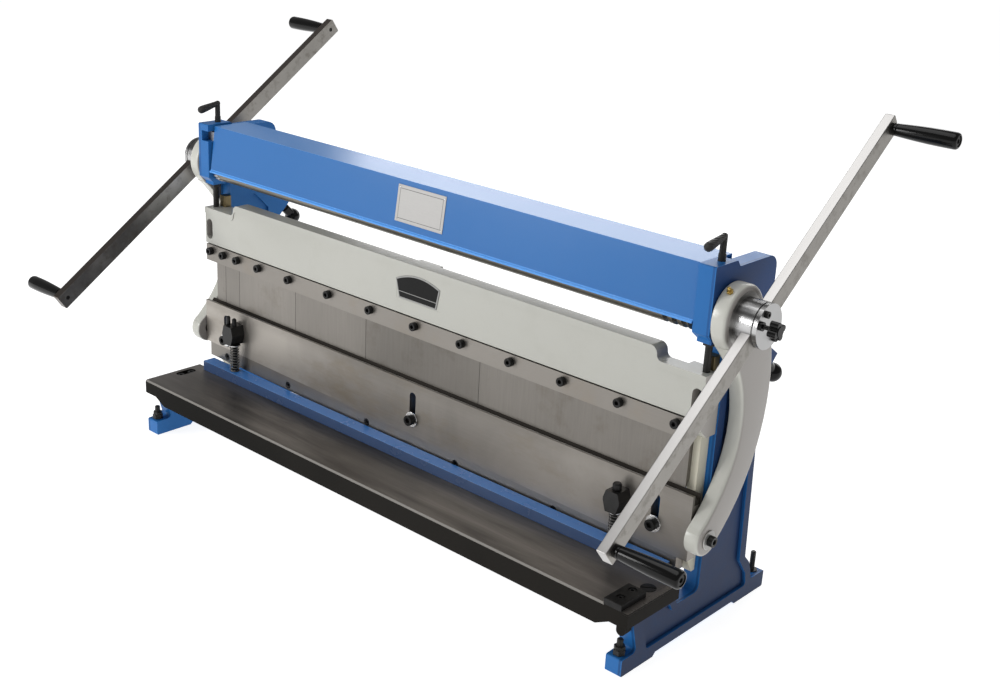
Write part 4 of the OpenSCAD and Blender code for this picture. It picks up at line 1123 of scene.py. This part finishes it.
class MACHINE_OT_rolls(MachineOperator, bpy.types.Operator):
    """Dresses the rolls with their gears, bearings and screws"""
    bl_idname = "machine.rolls"
    bl_label = "Slip rolls"

    def execute(self, context):
        soften("lower_roll", "roll", 0.4 * MM, 1)
        soften("upper_roll", "roll", 0.6 * MM)
        soften("rear_bend_roll", "roll", 0.6 * MM)
        for node in ("drive_gear", "driven_gear", "upper_bearing_blocks", "rear_bearing_blocks"):
            soften(node, "gear", 0.4 * MM, 1)
        soften("shaft_bushes", "bronze", 0.4 * MM, 1)
        # the pinch screws: heights with radii, and lengths forward of the stem with radii, in millimetres
        stem = [(521.2, 0), (521.2, 4.8), (521.7, 5.2), (549, 5.2), (550, 4.5), (571, 4.5), (574, 3.9), (576, 2.3),
                (576.6, 0)]
        handle = [(-41, 0), (-40.7, 1.9), (-39.6, 4.0), (-37.4, 5.8), (-34, 6.4), (-28, 6.2), (-5, 4.4), (1.2, 4.2),
                  (3.6, 3.2), (4.6, 1.6), (4.8, 0)]
        y, droop = (24 - BACK) * MM, Matrix.Rotation(math.radians(13), 4, "X")
        for side, s in (("left", -1), ("right", 1)):
            x = s * FRAME_X * MM
            bar = turned(handle, 40, 1)
            bar.transform(Matrix.Translation((x, y, 572 * MM)) @ droop)
            stand_in(joined([turned(stem, 40, 2, (x, y, 0)), bar], "pinch"), side + "_pinch_screw", "threaded")
            soften(side + "_rear_screw", "gloss", 0.5 * MM)
        return {"FINISHED"}


class MACHINE_OT_fasteners(MachineOperator, bpy.types.Operator):
    """Dresses the bolts, screws and studs"""
    bl_idname = "machine.fasteners"
    bl_label = "Fasteners"

    def execute(self, context):
        for node in ("ram_guide_bolts", "die_beam_bolts", "bed_beam_bolts", "lower_blade_screws"):
            soften(node, "black", 0.6 * MM)
        # the blade's screws stand in line with its raked edge, which drops 19.5 over the machine's length
        rows = (
            ("clamp_bar_bolts", screw(6.75, 7.9, 4, 31.9, 3.5, 4.2, 0.16), [(x, 0, 314.5) for x in CLAMP_BOLTS]),
            ("blade_screws", screw(6, 4.4, 4, 11.4, 3, 2.6),
             [(x, 5, 142 - 19.5 * (x + 528.5) / 1057 - 15) for x in BLADE_SCREWS]),
        )
        for node, piece, places in rows:
            points = [(x * MM, (y - BACK) * MM, z * MM) for x, y, z in places]
            stand_in(copies(piece, points, node + "_dressed", "black", (math.radians(90), 0, 0), 2 * math.pi), node)
        soften("jack_screws", "threaded", 0.6 * MM)
        # heights with radii: the studs, and the washer of the rear ones
        front = [(1, 0), (1, 4.5), (48, 4.5), (49.4, 3.4), (49.8, 0)]
        rear = [(1, 0), (1, 4), (56, 4), (57.4, 2.8), (57.8, 0)]
        washer = [(25.95, 0), (25.95, 8.2), (26.2, 8.5), (27.6, 8.5), (27.9, 8.2), (27.9, 0)]
        near, far = (-120 - BACK) * MM, (204 - BACK) * MM
        studs = []
        for x in (-FRAME_X * MM, FRAME_X * MM):
            studs += [turned(outline, 40, 2, (x, y, 0))
                      for outline, y in ((front, near), (rear, far), (washer, far))]
            # two nuts on each front stud: foot, height, radius across the corners, turn
            for z, height, across, spin in ((25.95, 7.5, 9, 0), (33.6, 5.4, 8.2, 22)):
                corners = [(x + across * MM * math.cos(math.radians(60 * k + spin)),
                            near + across * MM * math.sin(math.radians(60 * k + spin))) for k in range(6)]
                studs.append(rounded_edges(slab(corners, z * MM, (z + height) * MM, 2, "nut"), 0.7 * MM))
        stand_in(joined(studs, "foot_studs_dressed"), "foot_studs", "threaded")
        return {"FINISHED"}


class MACHINE_OT_hold_down(MachineOperator, bpy.types.Operator):
    """Dresses the spring loaded hold-down bar"""
    bl_idname = "machine.hold_down"
    bl_label = "Hold-down"

    def execute(self, context):
        soften("hold_down_bar", "blue_bar", 1.2 * MM, 3)
        soften("hold_down_brackets", "cast_black", 1.2 * MM, 3)
        soften("hold_down_rods", "black", 0.5 * MM)
        # each coil stands on the bar
        k = sizes()
        for side, x, bracket in SPRINGS:
            node = side + "_hold_down_spring"
            foot = (x * MM, (SPRING_Y - BACK) * MM, SPRING_FOOT * MM)
            height = (bracket - 2.1 - SPRING_FOOT) * MM
            mesh = spring_tree().mesh([foot], node + "_dressed", "coil", Radius=k.spring_radius, Wire=k.spring_wire,
                                      Height=height, Turns=k.spring_turns)
            coil = stand_in(mesh, node)
            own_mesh(coil)
        return {"FINISHED"}


OPERATORS = [
    MACHINE_OT_camera, MACHINE_OT_stage, MACHINE_OT_frames, MACHINE_OT_table, MACHINE_OT_beam, MACHINE_OT_die_beam,
    MACHINE_OT_ram, MACHINE_OT_fingers, MACHINE_OT_arms, MACHINE_OT_cranks, MACHINE_OT_rolls,
    MACHINE_OT_fasteners, MACHINE_OT_hold_down,
]


class MACHINE_PT_panel(bpy.types.Panel):
    """Lists the machine's pieces and settings"""
    bl_label = "Sheet metal machine"
    bl_space_type = "VIEW_3D"
    bl_region_type = "UI"
    bl_category = "Machine"

    def draw(self, context):
        for group in (context.scene.machine_sizes, context.scene.machine_colours):
            for key in group.__annotations__:
                self.layout.prop(group, key)
        for operator in OPERATORS:
            self.layout.operator(operator.bl_idname)


CLASSES = [MachineSizes, MachineColours, *OPERATORS, MACHINE_PT_panel]


def register():
    for c in CLASSES:
        bpy.utils.register_class(c)
    bpy.types.Scene.machine_sizes = bpy.props.PointerProperty(type=MachineSizes)
    bpy.types.Scene.machine_colours = bpy.props.PointerProperty(type=MachineColours)


def unregister():
    del bpy.types.Scene.machine_sizes
    del bpy.types.Scene.machine_colours
    for c in reversed(CLASSES):
        bpy.utils.unregister_class(c)


def main():
    register()
    for operator in OPERATORS:
        group, name = operator.bl_idname.split(".")
        getattr(getattr(bpy.ops, group), name)()


if __name__ == "__main__":
    main()
